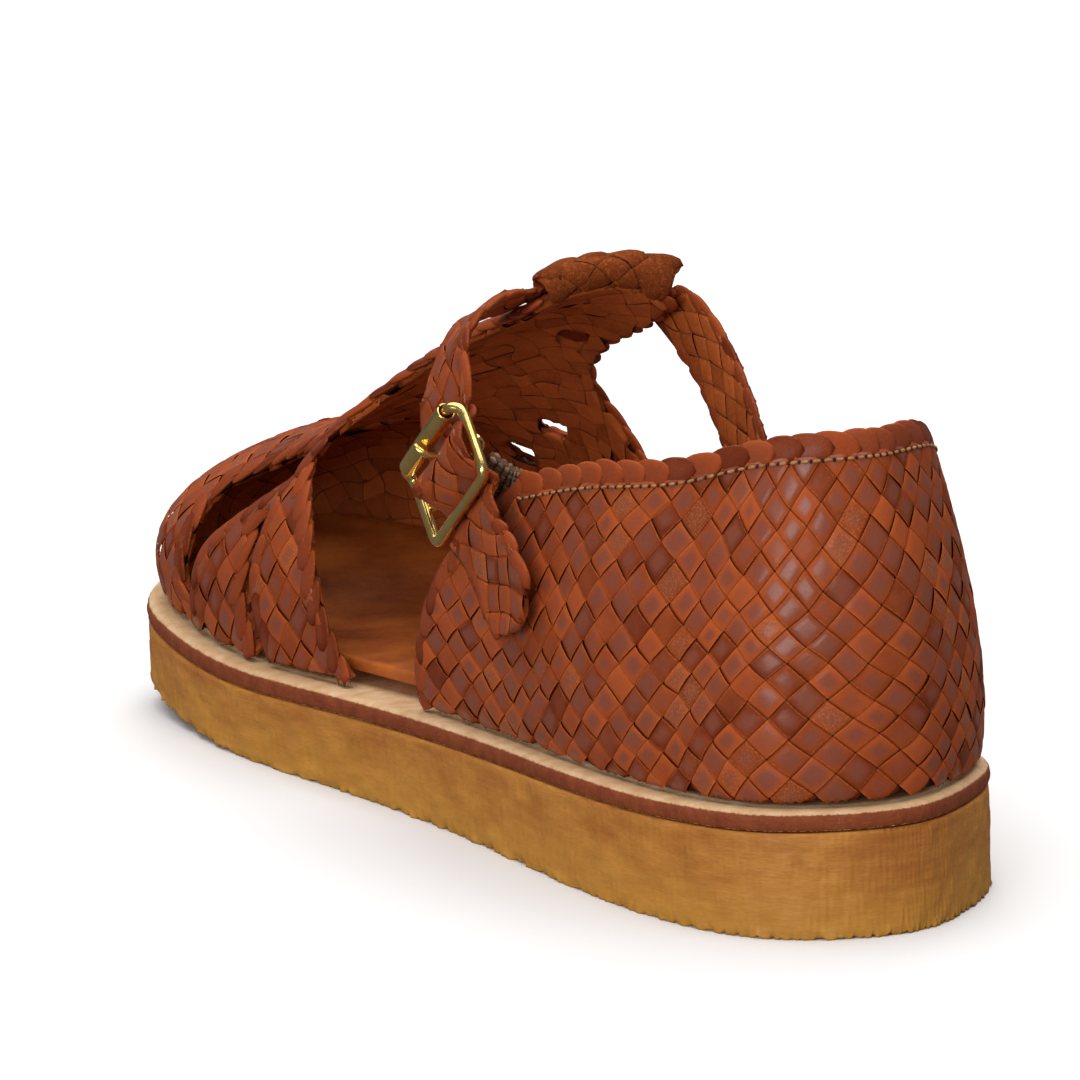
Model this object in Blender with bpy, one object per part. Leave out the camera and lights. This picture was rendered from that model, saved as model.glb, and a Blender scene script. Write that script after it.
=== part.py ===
"""Woven fisherman sandal for the left foot.

The shoe stands on z = 0 with its toe towards +Y and its lateral side towards -X.
Sizes are in millimetres, with y counted from the back of the heel, and are turned
into metres about the middle of the outsole when the meshes are made.
"""

import bpy
import numpy as np
from mathutils.geometry import delaunay_2d_cdt

MM = 0.001

# Driving dimensions
LENGTH = 268.0
GAP = 0.3                 # between pieces that meet
CREPE_HEEL = 19.0         # outsole thickness at the back of the heel
CREPE_TOE = 11.1          # and at the toe
TOE_SPRING = 10.8         # rise of the outsole's tip
SPRING_START = 0.66       # share of the length where the rise starts
MIDSOLE_HEEL = 3.5
MIDSOLE_TOE = 4.1
LEDGE = 3.3               # midsole showing outside the upper, on average
LEDGE_SWING = 1.2         # wider by this on the lateral side and narrower on the medial
WALL = 2.6                # woven leather of the upper
MARGIN = 12.0             # upper turned in under the insole
MARGIN_THICK = 2.0
INSOLE_THICK = 2.5
STRAP_WIDTH = 20.0        # at its tip and in the buckle
STRAP_NARROW = 16.0       # and where it is drawn through the tunnel
STRAP_THICK = 2.2

RING_HALF = 44            # points round half of the sole


def table(header, *rows):
    """Named columns of a table of sections."""
    return dict(zip(header.split(), np.array(rows, float).T))


# Sole outline: half-widths either side of the centre line
OUTLINE = table(
    "station lateral medial",
    (0.030, 20.2, 17.3),
    (0.10, 30.1, 32.0),
    (0.22, 34.3, 33.0),
    (0.40, 35.3, 30.3),
    (0.56, 39.3, 36.0),
    (0.70, 44.3, 43.9),
    (0.82, 44.1, 42.0),
    (0.92, 37.2, 31.0),
    (0.975, 18.6, 19.0),
)
TIP_X = 4.5               # the toe's tip lies towards the big toe

# Counter and quarters: top edge, inward lean at the top edge
QUARTER = table(
    "station top lean",
    (0.00, 86.0, 8.5),
    (0.06, 84.2, 7.8),
    (0.12, 80.2, 6.5),
    (0.23, 75.2, 4.0),
    (0.33, 69.0, 2.5),
)
COUNTER_SWELL = 2.0       # rounding of the counter low down
# Front edge of each quarter: how far forward it reaches at each height
FRONT_EDGE = table(
    "height reach",
    (15.0, 126.0),
    (39.0, 123.5),
    (50.0, 116.0),
    (60.0, 104.0),
    (69.0, 89.0),
)

# Vamp and instep: the last's ridge above the ledge, its place across the shoe,
# how square the section is (1 an ellipse, less is squarer) and how far its sides swell
RIDGE = table(
    "station rise offset square swell",
    (0.36, 88.0, 3.0, 0.42, 0.0),
    (0.41, 82.5, 3.0, 0.42, 0.0),
    (0.46, 76.5, 3.0, 0.46, 0.0),
    (0.52, 72.0, 3.0, 0.52, 0.0),
    (0.58, 66.5, 3.0, 0.60, 0.5),
    (0.64, 59.5, 3.0, 0.68, 1.2),
    (0.70, 51.5, 3.5, 0.74, 2.0),
    (0.76, 44.3, 4.0, 0.78, 2.8),
    (0.82, 38.5, 4.5, 0.80, 3.2),
    (0.88, 34.0, 5.0, 0.80, 3.2),
    (0.94, 29.0, 5.0, 0.80, 3.2),
    (1.00, 24.0, 4.5, 0.80, 3.2),
)
TOE_CENTRE = 0.84         # station where the toe's dome starts


def spline(knots, values, at):
    """Natural cubic spline through the points (knots, values), held flat past its ends."""
    x = np.asarray(knots, float)
    y = np.asarray(values, float)
    at = np.clip(at, x[0], x[-1])
    h = np.diff(x)
    inner = np.arange(1, len(x) - 1)
    system = np.eye(len(x))
    system[inner, inner - 1] = h[:-1]
    system[inner, inner] = 2 * (h[:-1] + h[1:])
    system[inner, inner + 1] = h[1:]
    target = np.zeros(len(x))
    target[inner] = 6 * np.diff(np.diff(y) / h)
    bend = np.linalg.solve(system, target)
    i = np.clip(np.searchsorted(x, at) - 1, 0, len(x) - 2)
    left, right, width = x[i + 1] - at, at - x[i], h[i]
    return (
        (bend[i] * left**3 + bend[i + 1] * right**3) / (6 * width)
        + (y[i] / width - bend[i] * width / 6) * left
        + (y[i + 1] / width - bend[i + 1] * width / 6) * right
    )


# Sole

def outline_angle(y):
    """Angle round the sole of a distance from the heel: 0 at the heel, pi at the toe."""
    return np.arccos(np.clip(1 - 2 * np.asarray(y) / LENGTH, -1, 1))


def outline_knots():
    angle = outline_angle(OUTLINE["station"] * LENGTH)
    knots = np.concatenate([-angle[::-1], [0], angle, [np.pi]])
    x = np.concatenate([-OUTLINE["lateral"][::-1], [0], OUTLINE["medial"], [TIP_X]])
    turns = [knots - 2 * np.pi, knots, knots + 2 * np.pi]
    return np.concatenate(turns), np.tile(x, 3)


def outline(angle, inset=0.0):
    """Points of the sole's outline, moved inwards; negative angles are the lateral side."""
    knots, x = outline_knots()

    def on_edge(a):
        return np.stack([spline(knots, x, a), LENGTH * (1 - np.cos(a)) / 2], axis=-1)

    step = 1e-3
    along = on_edge(angle + step) - on_edge(angle - step)
    along /= np.linalg.norm(along, axis=-1, keepdims=True)
    inwards = np.stack([-along[..., 1], along[..., 0]], axis=-1)
    return on_edge(angle) + inwards * np.asarray(inset)[..., None]


def outsole_bottom(y):
    rise = np.clip((y / LENGTH - SPRING_START) / (1 - SPRING_START), 0, 1)
    return TOE_SPRING * rise**2


def outsole_top(y):
    return outsole_bottom(y) + CREPE_HEEL + (CREPE_TOE - CREPE_HEEL) * y / LENGTH


def ledge(y):
    """Top of the midsole, which the upper and the insole stand on."""
    thickness = MIDSOLE_HEEL + (MIDSOLE_TOE - MIDSOLE_HEEL) * y / LENGTH
    return outsole_top(y) + GAP + thickness


def ledge_width(angle):
    return LEDGE - LEDGE_SWING * np.sin(angle)


def ring(inset, height, above=0.0):
    """Closed ring of points at an inset from the outline, on a height function."""
    angle = np.linspace(-np.pi, np.pi, 2 * RING_HALF, endpoint=False)
    plan = outline(angle, np.zeros_like(angle) + inset(angle))
    return np.column_stack([plan, height(plan[:, 1]) + above])


def stack(rings):
    """Solid whose wall runs through closed rings, lowest first, with caps across the shoe."""
    count = len(rings[0])
    faces = []
    for level in range(len(rings) - 1):
        low = level * count
        for i in range(count):
            j = (i + 1) % count
            faces.append((low + i, low + j, low + count + j, low + count + i))
    top = (len(rings) - 1) * count
    for i in range(count // 2):
        cap = list(dict.fromkeys((i, i + 1, count - i - 1, (count - i) % count)))
        faces.append([top + k for k in cap])
        faces.append(cap[::-1])
    return np.vstack(rings), faces


def tube_ring(rings):
    """Solid of rings joined one after the other, the last to the first: a closed hoop."""
    count = len(rings[0])
    faces = []
    for level in range(len(rings)):
        low = level * count
        high = (level + 1) % len(rings) * count
        for i in range(count):
            j = (i + 1) % count
            faces.append((low + i, low + j, high + j, high + i))
    return np.vstack(rings), faces


def make(name, solid, material):
    """Object from a solid in millimetres, its origin at the middle of the outsole."""
    points, faces = solid
    faces = facing_out(points, faces)
    shifted = (points - [0, LENGTH / 2, 0]) * MM
    mesh = bpy.data.meshes.new(name)
    mesh.from_pydata(shifted.tolist(), [], [tuple(map(int, face)) for face in faces])
    mesh.materials.append(material)
    mesh.shade_smooth()
    mesh.set_sharp_from_angle(angle=np.radians(35))
    piece = bpy.data.objects.new(name, mesh)
    bpy.context.scene.collection.objects.link(piece)
    return piece


def finish(name, colour, roughness, metallic=0.0):
    material = bpy.data.materials.new(name)
    material.use_nodes = True
    shader = material.node_tree.nodes["Principled BSDF"]
    shader.inputs["Base Color"].default_value = (*colour, 1)
    shader.inputs["Roughness"].default_value = roughness
    shader.inputs["Metallic"].default_value = metallic
    return material


def combine(target, other, operation):
    """Applies a Boolean with the other solid to the target and removes the other's object."""
    boolean = target.modifiers.new("combine", "BOOLEAN")
    boolean.operation = operation
    boolean.object = other
    bpy.context.view_layer.update()
    graph = bpy.context.evaluated_depsgraph_get()
    combined = bpy.data.meshes.new_from_object(target.evaluated_get(graph))
    target.modifiers.clear()
    target.data = combined
    bpy.data.objects.remove(other)


def join(target, others):
    for other in others:
        combine(target, other, "UNION")


def cut(target, cutter):
    combine(target, cutter, "DIFFERENCE")


def facing_out(points, faces):
    """The faces, turned round if they enclose a negative volume."""
    volume = 0.0
    for face in faces:
        for i in range(1, len(face) - 1):
            across = np.cross(points[face[i]], points[face[i + 1]])
            volume += points[face[0]] @ across
    return faces if volume > 0 else [face[::-1] for face in faces]


# Counter and quarters

def quarter_surface(angle, share):
    """Outside of the counter: share 0 at the ledge, 1 at the top edge."""
    y = LENGTH * (1 - np.cos(angle)) / 2
    station = y / LENGTH
    foot = ledge(y) + GAP
    top = spline(QUARTER["station"], QUARTER["top"], station)
    lean = spline(QUARTER["station"], QUARTER["lean"], station)
    swell = COUNTER_SWELL * 3.08 * share**0.5 * (1 - share) ** 1.5
    inward = lean * share**2.2 - swell
    plan = outline(angle, ledge_width(angle) + inward)
    return np.concatenate([plan, (foot + share * (top - foot))[..., None]], axis=-1)


def quarter_grid(columns, rows):
    """Angles and height shares of a grid that ends on the slanted front edges."""
    share = np.linspace(0, 1, rows)[:, None]
    side = np.linspace(-1, 1, columns)[None, :]
    corner = ledge(89.0) + share * (FRONT_EDGE["height"][-1] - ledge(89.0))
    reach = spline(FRONT_EDGE["height"], FRONT_EDGE["reach"], corner)
    return outline_angle(reach) * side, share + 0 * side


def normals(grid):
    """Unit normals of a grid of points, on the side where rows cross columns."""
    across = np.gradient(grid, axis=1)
    up = np.gradient(grid, axis=0)
    normal = np.cross(across, up)
    return normal / np.linalg.norm(normal, axis=-1, keepdims=True)


def shell(outer, inner):
    """Solid between two grids of points of the same shape, closed round its border."""
    rows, columns = outer.shape[:2]
    back = rows * columns
    faces = []
    for r in range(rows - 1):
        for c in range(columns - 1):
            a, b = r * columns + c, r * columns + c + 1
            d, e = a + columns, b + columns
            faces.append((a, b, e, d))
            faces.append((back + a, back + d, back + e, back + b))
    bottom = [c for c in range(columns)]
    right = [r * columns + columns - 1 for r in range(1, rows)]
    top = [(rows - 1) * columns + c for c in range(columns - 2, -1, -1)]
    left = [r * columns for r in range(rows - 2, 0, -1)]
    border = bottom + right + top + left
    for a, b in zip(border, border[1:] + border[:1]):
        faces.append((b, a, back + a, back + b))
    points = np.vstack([outer.reshape(-1, 3), inner.reshape(-1, 3)])
    return points, faces


def quarter_solid():
    angle, share = quarter_grid(columns=61, rows=9)
    outer = quarter_surface(angle, share)
    inner = outer - WALL * normals(outer)
    inner[..., 2] = outer[..., 2]
    return shell(outer, inner)


# Vamp, bands and T-bar: one flat pattern that is wrapped over the last

TOE_Y = TOE_CENTRE * LENGTH
BACK_Y = 0.36 * LENGTH    # where the instep's sections start


def ridge(column, y):
    return spline(RIDGE["station"], RIDGE[column], y / LENGTH)


def section_point(base_y, bearing, share):
    """Point on the section that leaves the ridge at base_y along a bearing (0 is ahead, pi/2
    medial), share 0 at the ridge and 1 at the upper's foot."""
    side = np.linspace(0, np.pi, 721)
    foot = np.vstack([outline(a, ledge_width(a)) for a in (-side, side[::-1])])
    toe = foot - [ridge("offset", TOE_Y), TOE_Y]
    turn = np.arctan2(toe[:, 0], toe[:, 1])
    ahead = np.abs(turn) < 1.75
    dome = np.interp(bearing, turn[ahead], np.hypot(*toe[ahead].T))
    lateral = -np.interp(base_y, foot[:721, 1], foot[:721, 0]) + ridge("offset", base_y)
    medial = np.interp(base_y, foot[:720:-1, 1], foot[:720:-1, 0]) - ridge("offset", base_y)
    across = np.where(bearing < 0, lateral, medial)
    reach = np.where(base_y < TOE_Y, across, dome)
    fall = (1 - np.minimum(share, 1) ** 2) ** (ridge("square", base_y) / 2)
    out = reach * share + ridge("swell", base_y) * 4 * fall * (1 - fall)
    x = ridge("offset", base_y) + out * np.sin(bearing)
    y = base_y + out * np.cos(bearing) * (base_y >= TOE_Y)
    z = ledge(y) + GAP + (ridge("rise", y) - GAP) * fall
    return np.stack([x, y, z], axis=-1)


SECTIONS = 64             # along the ridge, on each side, and round half of the toe
STEPS = 96                # from the ridge to the foot


def section_lengths():
    """For each section from the lateral heel round the toe to the medial: its girth from ridge
    to foot, and the share that is reached at even steps of that girth."""
    along = np.linspace(BACK_Y, TOE_Y, SECTIONS)
    right = np.full(SECTIONS, np.pi / 2)
    fan = np.linspace(-np.pi / 2, np.pi / 2, 2 * SECTIONS)
    base = np.concatenate([along, np.full(len(fan), TOE_Y + 1e-6), along[::-1]])
    bearing = np.concatenate([-right, fan, right])
    share = np.sin(np.linspace(0, np.pi / 2, 4 * STEPS))
    points = section_point(base[:, None], bearing[:, None], share[None, :])
    length = np.linalg.norm(np.diff(points, axis=1), axis=-1).cumsum(axis=1)
    length = np.hstack([np.zeros((len(base), 1)), length])
    even = np.linspace(0, 1, STEPS)
    shares = np.array([np.interp(even * row[-1], row, share) for row in length])
    return length[:, -1], shares


GIRTHS, SHARES = section_lengths()


def section_number(x, y):
    """Place of a pattern point in the fan of sections."""
    along = (np.clip(y, BACK_Y, TOE_Y) - BACK_Y) / (TOE_Y - BACK_Y) * (SECTIONS - 1)
    turn = np.arctan2(x, np.maximum(y - TOE_Y, 0)) / np.pi + 0.5
    last = len(GIRTHS) - 1
    sides = np.where(x < 0, along, last - along)
    return np.where(y < TOE_Y, sides, SECTIONS + turn * (2 * SECTIONS - 1))


def girth(x, y):
    return np.interp(section_number(x, y), np.arange(len(GIRTHS)), GIRTHS)


def vamp_surface(pattern):
    """Wraps flat pattern points over the last: x is the girth from the ridge, y the length."""
    x, y = pattern[..., 0], pattern[..., 1]
    ahead = np.maximum(y - TOE_Y, 0)
    step = np.clip(np.hypot(x, ahead) / girth(x, y), 0, 1) * (STEPS - 1)
    number = section_number(x, y)
    row = np.minimum(number.astype(int), len(GIRTHS) - 2)
    column = np.minimum(step.astype(int), STEPS - 2)
    down, across = number - row, step - column
    share = (
        SHARES[row, column] * (1 - down) * (1 - across)
        + SHARES[row, column + 1] * (1 - down) * across
        + SHARES[row + 1, column] * down * (1 - across)
        + SHARES[row + 1, column + 1] * down * across
    )
    base = np.where(y < TOE_Y, y, TOE_Y + 1e-6)
    return section_point(base, np.arctan2(x, ahead), share)


# Flat pattern of the vamp: girth from the ridge against the distance from the heel.
# Lateral edges are written with positive girths too, and take their side when they are used.
LATERAL_REAR = table(     # the T-bar's edge, then the rear band's, down to its foot
    "girth length",
    (16.5, 118.0),
    (15.5, 124.0),
    (15.5, 134.0),
    (18.5, 153.0),
    (21.0, 168.0),
    (25.0, 177.5),
    (31.5, 180.5),
    (38.5, 178.5),
    (45.5, 174.0),
    (52.5, 169.5),
    (60.0, 166.5),
    (69.0, 163.5),
    (78.0, 159.0),
    (88.0, 152.5),
)
MEDIAL_REAR = table(
    "girth length",
    (16.5, 118.0),
    (17.0, 124.0),
    (18.5, 134.0),
    (19.5, 150.0),
    (22.0, 163.5),
    (26.5, 170.5),
    (33.5, 172.5),
    (42.0, 171.0),
    (51.0, 166.5),
    (60.0, 162.5),
    (69.0, 159.5),
    (78.0, 156.0),
    (88.0, 151.0),
)
LATERAL_SLIT = table(     # between the rear and middle bands, open at the foot
    "girth rear front",
    (48.5, 186.8, 187.4),
    (55.0, 186.5, 190.0),
    (64.0, 187.0, 191.3),
    (72.0, 184.8, 189.5),
    (88.0, 178.5, 186.0),
)
MEDIAL_SLIT = table(
    "girth rear front",
    (48.5, 182.8, 183.4),
    (55.0, 182.5, 186.5),
    (64.0, 182.5, 187.8),
    (72.0, 180.5, 186.5),
    (88.0, 174.5, 183.0),
)
LATERAL_OPENING = table(  # between the middle and front bands
    "girth length",
    (39.0, 179.5),
    (43.5, 189.5),
    (46.5, 198.5),
    (50.5, 207.5),
    (57.5, 213.5),
    (64.0, 217.0),
    (61.5, 219.0),
    (50.0, 220.3),
    (40.0, 221.0),
    (35.0, 214.0),
    (32.0, 203.0),
    (33.5, 190.0),
)
MEDIAL_OPENING = table(
    "girth length",
    (44.0, 181.5),
    (48.0, 189.5),
    (50.5, 198.0),
    (53.5, 206.0),
    (58.5, 212.0),
    (64.0, 216.0),
    (61.0, 218.2),
    (54.5, 218.6),
    (49.5, 216.5),
    (46.0, 210.0),
    (43.5, 202.0),
    (42.0, 190.0),
)
TOE_OPENING = table(      # on the ridge, between the two front bands
    "girth length",
    (-2.0, 214.0),
    (3.0, 223.0),
    (3.5, 233.0),
    (-1.0, 243.0),
    (-6.0, 235.0),
    (-7.5, 224.0),
)
EDGE_STEP = 4.5           # spacing of points along the pattern's edges and inside it
T_TOP = 118.0             # where the T-bar's end turns over the ankle strap
TUNNEL_SIDES = -14.0, 15.4
TUNNEL_SLANT = 0.45       # its lateral end slants back by this much per forward millimetre


def curve(points, closed=False):
    """Even points along a smooth line through the given ones."""
    points = np.asarray(points, float)
    if closed:
        points = np.vstack([points[-3:], points, points[:3]])
    chord = np.concatenate([[0], np.linalg.norm(np.diff(points, axis=0), axis=1).cumsum()])
    start, end = (chord[3], chord[-3]) if closed else (chord[0], chord[-1])
    count = max(2, int(round((end - start) / EDGE_STEP)))
    at = np.linspace(start, end, count + 1)
    line = np.column_stack([spline(chord, column, at) for column in points.T])
    return line[:-1] if closed else line


def foot_end(line, side):
    """An edge cut off where it reaches the foot."""
    line = line * [side, 1]
    inside = np.abs(line[:, 0]) < girth(line[:, 0], line[:, 1]) - 1.5
    kept = line[inside]
    y = line[~inside][0, 1] if (~inside).any() else kept[-1, 1]
    return np.vstack([kept, foot_point(y, side)])


def foot_point(y, side):
    return np.array([side * girth(np.float64(side), np.float64(y)), y])


def foot_line(y_from, y_to, side):
    """Points along the foot between two distances from the heel, without the ends."""
    count = max(1, int(round(abs(y_to - y_from) / EDGE_STEP)))
    return np.array([foot_point(y, side) for y in np.linspace(y_from, y_to, count + 1)[1:-1]])


def toe_line():
    """Foot points round the toe's dome, from the lateral side to the medial."""
    bearing = np.linspace(-np.pi / 2, np.pi / 2, 27)
    reach = np.interp(bearing, np.linspace(-np.pi / 2, np.pi / 2, 2 * SECTIONS),
                      GIRTHS[SECTIONS:3 * SECTIONS])
    return np.column_stack([reach * np.sin(bearing), TOE_Y + 0.01 + reach * np.cos(bearing)])


def half_outline(rear, slit, side):
    """One side of the pattern's edge, from the T-bar's top to where the toe's dome starts."""
    rear_edge = foot_end(curve(np.column_stack([rear["girth"], rear["length"]])), side)
    slit_rear = foot_end(curve(np.column_stack([slit["girth"], slit["rear"]])), side)
    slit_front = foot_end(curve(np.column_stack([slit["girth"], slit["front"]])), side)
    return np.vstack([
        rear_edge,
        foot_line(rear_edge[-1, 1], slit_rear[-1, 1], side),
        slit_rear[::-1],
        slit_front,
        foot_line(slit_front[-1, 1], TOE_Y, side),
    ])


def inside_loop(points, loop):
    """Which flat points lie inside a closed loop, by counting the edges to one side."""
    a, b = loop, np.roll(loop, -1, axis=0)
    x, y = points[:, None, 0], points[:, None, 1]
    crosses = (a[:, 1] > y) != (b[:, 1] > y)
    slope = (b[:, 0] - a[:, 0]) / np.where(b[:, 1] == a[:, 1], 1e-9, b[:, 1] - a[:, 1])
    return (crosses & (x < a[:, 0] + (y - a[:, 1]) * slope)).sum(axis=1) % 2 == 1


def fill_pattern(outer, openings):
    """Triangles over a flat pattern with openings: points and triangles, facing up."""
    loops = [outer] + openings
    edges, start = [], 0
    for loop in loops:
        edges += [(start + i, start + (i + 1) % len(loop)) for i in range(len(loop))]
        start += len(loop)
    rim = np.vstack(loops)
    low, high = rim.min(axis=0), rim.max(axis=0)
    rows = np.arange(low[1], high[1], EDGE_STEP * 0.87)
    columns = np.arange(low[0], high[0], EDGE_STEP)
    x, y = np.meshgrid(columns, rows)
    x = x + EDGE_STEP / 2 * (np.arange(len(rows)) % 2)[:, None]
    grid = np.column_stack([x.ravel(), y.ravel()])
    inside = inside_loop(grid, outer)
    for opening in openings:
        inside &= ~inside_loop(grid, opening)
    near = np.linalg.norm(grid[:, None] - rim[None], axis=-1).min(axis=1) < EDGE_STEP * 0.6
    points = np.vstack([rim, grid[inside & ~near]])
    found = delaunay_2d_cdt([tuple(p) for p in points], edges, [], 0, 1e-6)
    flat = np.array([tuple(p) for p in found[0]])
    faces = np.array([tuple(f) for f in found[2]])
    middle = flat[faces].mean(axis=1)
    keep = inside_loop(middle, outer)
    for opening in openings:
        keep &= ~inside_loop(middle, opening)
    used, faces = np.unique(faces[keep], return_inverse=True)
    return flat[used], faces.reshape(-1, 3)


def thicken(points, faces, thickness):
    """Solid from an open surface of triangles: its inner side lies a thickness inside."""
    sides = points[faces]
    facing = np.cross(sides[:, 1] - sides[:, 0], sides[:, 2] - sides[:, 0])
    normal = np.zeros_like(points)
    for corner in range(3):
        np.add.at(normal, faces[:, corner], facing)
    normal /= np.linalg.norm(normal, axis=1, keepdims=True)
    inner = points - thickness * normal
    inner[:, 2] = np.maximum(inner[:, 2], ledge(inner[:, 1]) + GAP)
    count = len(points)
    directed = [(a, b) for f in faces.tolist() for a, b in zip(f, f[1:] + f[:1])]
    whole = set(directed)
    border = [(a, b) for a, b in directed if (b, a) not in whole]
    solid = faces.tolist() + (faces[:, ::-1] + count).tolist()
    solid += [(b, a, a + count, b + count) for a, b in border]
    return np.vstack([points, inner]), solid


def openings():
    found = []
    for opening, side in ((LATERAL_OPENING, -1), (MEDIAL_OPENING, 1), (TOE_OPENING, 1)):
        points = np.column_stack([opening["girth"], opening["length"]])
        found.append(curve(points, closed=True) * [side, 1])
    return found


def vamp_solid():
    lateral = half_outline(LATERAL_REAR, LATERAL_SLIT, -1)
    medial = half_outline(MEDIAL_REAR, MEDIAL_SLIT, 1)
    top = np.column_stack([np.linspace(16.5, -16.5, 9)[1:-1], np.full(7, T_TOP)])
    outer = np.vstack([lateral, toe_line(), medial[::-1], top])
    flat, faces = fill_pattern(outer, openings())
    return thicken(vamp_surface(flat), faces, WALL)


def pattern_frame(x, y):
    """Point, direction along the shoe and outward normal of the vamp at a pattern point."""
    x, y = np.broadcast_arrays(np.asarray(x, float), np.asarray(y, float))
    step = 0.5

    def at(dx, dy):
        return vamp_surface(np.stack([x + dx, y + dy], axis=-1))

    across, along = at(step, 0) - at(-step, 0), at(0, step) - at(0, -step)
    normal = np.cross(across, along)
    normal /= np.linalg.norm(normal, axis=-1, keepdims=True)
    return at(0, 0), along / np.linalg.norm(along, axis=-1, keepdims=True), normal


TUNNEL = table(           # middle of the leather that turns over the strap, and its half thickness
    "forward height half",
    (5.0, -1.3, 0.9),
    (0.5, -1.2, 1.0),
    (-1.5, -0.5, 1.0),
    (-2.5, 1.5, 1.0),
    (-1.6, 3.6, 1.0),
    (0.4, 4.4, 1.0),
    (6.0, 4.5, 1.0),
    (12.7, 4.5, 1.0),
    (15.9, 3.4, 1.0),
    (18.2, 1.4, 1.0),
    (20.5, -0.8, 0.9),
)


def tunnel_solid():
    """The T-bar's end, turned over the ankle strap and sewn down in front of it."""
    middle = np.column_stack([TUNNEL["forward"], TUNNEL["height"]])
    along = np.gradient(middle, axis=0)
    along /= np.linalg.norm(along, axis=1, keepdims=True)
    side = np.column_stack([-along[:, 1], along[:, 0]]) * TUNNEL["half"][:, None]
    profile = np.vstack([middle + side, (middle - side)[::-1]])
    forward, height = profile[:, :1], profile[:, 1:]
    slant = TUNNEL_SLANT * np.clip(forward[:, 0], 0, 16)
    rings = []
    for share in np.linspace(0, 1, 12):
        x = TUNNEL_SIDES[0] + slant + share * (TUNNEL_SIDES[1] - TUNNEL_SIDES[0] - slant)
        base, along, normal = pattern_frame(x, T_TOP + np.maximum(forward[:, 0], 0))
        rings.append(base + normal * height + along[0] * np.minimum(forward, 0))
    return sweep(rings)


def sweep(rings):
    """Solid through open rings of equal counts, with flat ends; rings wind clockwise
    seen along the sweep."""
    count = len(rings[0])
    faces = []
    for level in range(len(rings) - 1):
        low = level * count
        for i in range(count):
            j = (i + 1) % count
            faces.append((low + i, low + count + i, low + count + j, low + j))
    last = (len(rings) - 1) * count
    half = count // 2
    for i in range(half - 1):
        j = count - 1 - i
        faces.append((i, i + 1, j - 1, j))
        faces.append((last + j, last + j - 1, last + i + 1, last + i))
    return np.vstack(rings), faces


# Lasting margin and insole

def margin_inset(angle):
    return ledge_width(angle) + WALL - 0.8


def margin_solid():
    """The upper's edge, turned in on top of the midsole."""
    def inner(angle):
        return margin_inset(angle) + MARGIN

    return tube_ring([
        ring(margin_inset, ledge, GAP),
        ring(inner, ledge, GAP),
        ring(inner, ledge, GAP + MARGIN_THICK),
        ring(margin_inset, ledge, GAP + MARGIN_THICK),
    ])


def insole_solid():
    """Insole over the turned-in margin, filled out below to rest inside it."""
    def plug(angle):
        return margin_inset(angle) + MARGIN + GAP

    def edge(angle):
        return ledge_width(angle) + WALL + 3 * GAP

    seat = MARGIN_THICK + 2 * GAP
    return stack([
        ring(plug, ledge, GAP),
        ring(plug, ledge, seat),
        ring(edge, ledge, seat),
        ring(edge, ledge, seat + INSOLE_THICK),
    ])


# Ankle strap, elastic and buckle

STRAP = table(            # middle line of the strap from its tip up to the buckle
    "x y z",
    (-35.0, 77.3, 42.0),
    (-34.7, 80.3, 46.2),
    (-34.3, 86.3, 51.0),
    (-34.2, 91.9, 55.5),
)
STRAP_RISE = table(       # from the buckle up to the tunnel; lean turns the rear edge outwards
    "x y z lean pitch",
    (-33.8, 108.6, 80.4, -0.06, 24.0),
    (-32.0, 111.5, 85.8, 0.02, 27.0),
    (-27.4, 115.4, 90.9, -0.04, 30.0),
    (-21.0, 119.8, 93.8, -0.20, 28.0),
)
STRAP_FALL = table(       # from the tunnel's medial end down inside the medial quarter
    "x y z",
    (21.1, 121.1, 87.4),
    (22.6, 113.5, 81.4),
    (22.7, 107.3, 75.4),
    (22.3, 100.3, 68.0),
    (21.7, 95.0, 61.5),
    (22.4, 89.5, 54.5),
)
TUNNEL_MIDDLE = 6.6       # forward of the T-bar's top
TUNNEL_GAP = 0.65         # the strap is flat there and the T-bar slightly hollow
STRAP_PITCH = 34.0        # slope of the direction across the strap, except on its rise
NARROWING = 58.0, 76.0    # stretch along the strap where it grows narrower
BUCKLE = np.array([-34.3, 103.8, 67.8])
BUCKLE_WIDTH = 27.4       # across the strap
BUCKLE_LENGTH = 14.6      # along it
BUCKLE_CORNER = 2.5
WIRE = 1.0                # radius of the frame's wire
BAR_RISE = 1.4            # the rear bar stands this far out of the frame's plane
FRONT_RISE = 3.6          # the front bar more, to clear its roller
RAIL_SINK = 0.3           # the side rails bow inwards by this at their middle
CENTRE_SINK = 1.4         # and the centre bar lies deeper
ROLLER = 1.8              # radius of the roller on the front bar
ROLLER_LENGTH = 22.0
PRONG = 0.8               # radius of the prong
UNDER = -1.2, -0.3        # the strap weaves under the rear bar and the roller
OVER = 4.3                # and over the centre bar
SLIPPED = -0.9, -3.7      # off the middle across, at the bars and between them
OUT = np.array([-1.0, 0.0, 0.0])
ALONG = np.array([0.0, -0.6, -0.8])
ACROSS = np.array([0.0, 0.8, -0.6])
ELASTIC = table(          # middle line from behind the centre bar to inside the quarter
    "x y z",
    (-30.1, 102.8, 68.4),
    (-28.7, 101.6, 67.0),
    (-25.8, 99.2, 64.4),
    (-24.0, 95.2, 62.6),
    (-23.5, 89.5, 60.8),
    (-23.9, 83.0, 59.0),
)
ELASTIC_WIDTH = 12.5
ELASTIC_THICK = 1.4


def buckle_point(along, across, out):
    """Point in the buckle's own directions: along the strap, across it and out from the foot."""
    return (BUCKLE + np.multiply.outer(along, ALONG) + np.multiply.outer(across, ACROSS)
            + np.multiply.outer(out, OUT))


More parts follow.
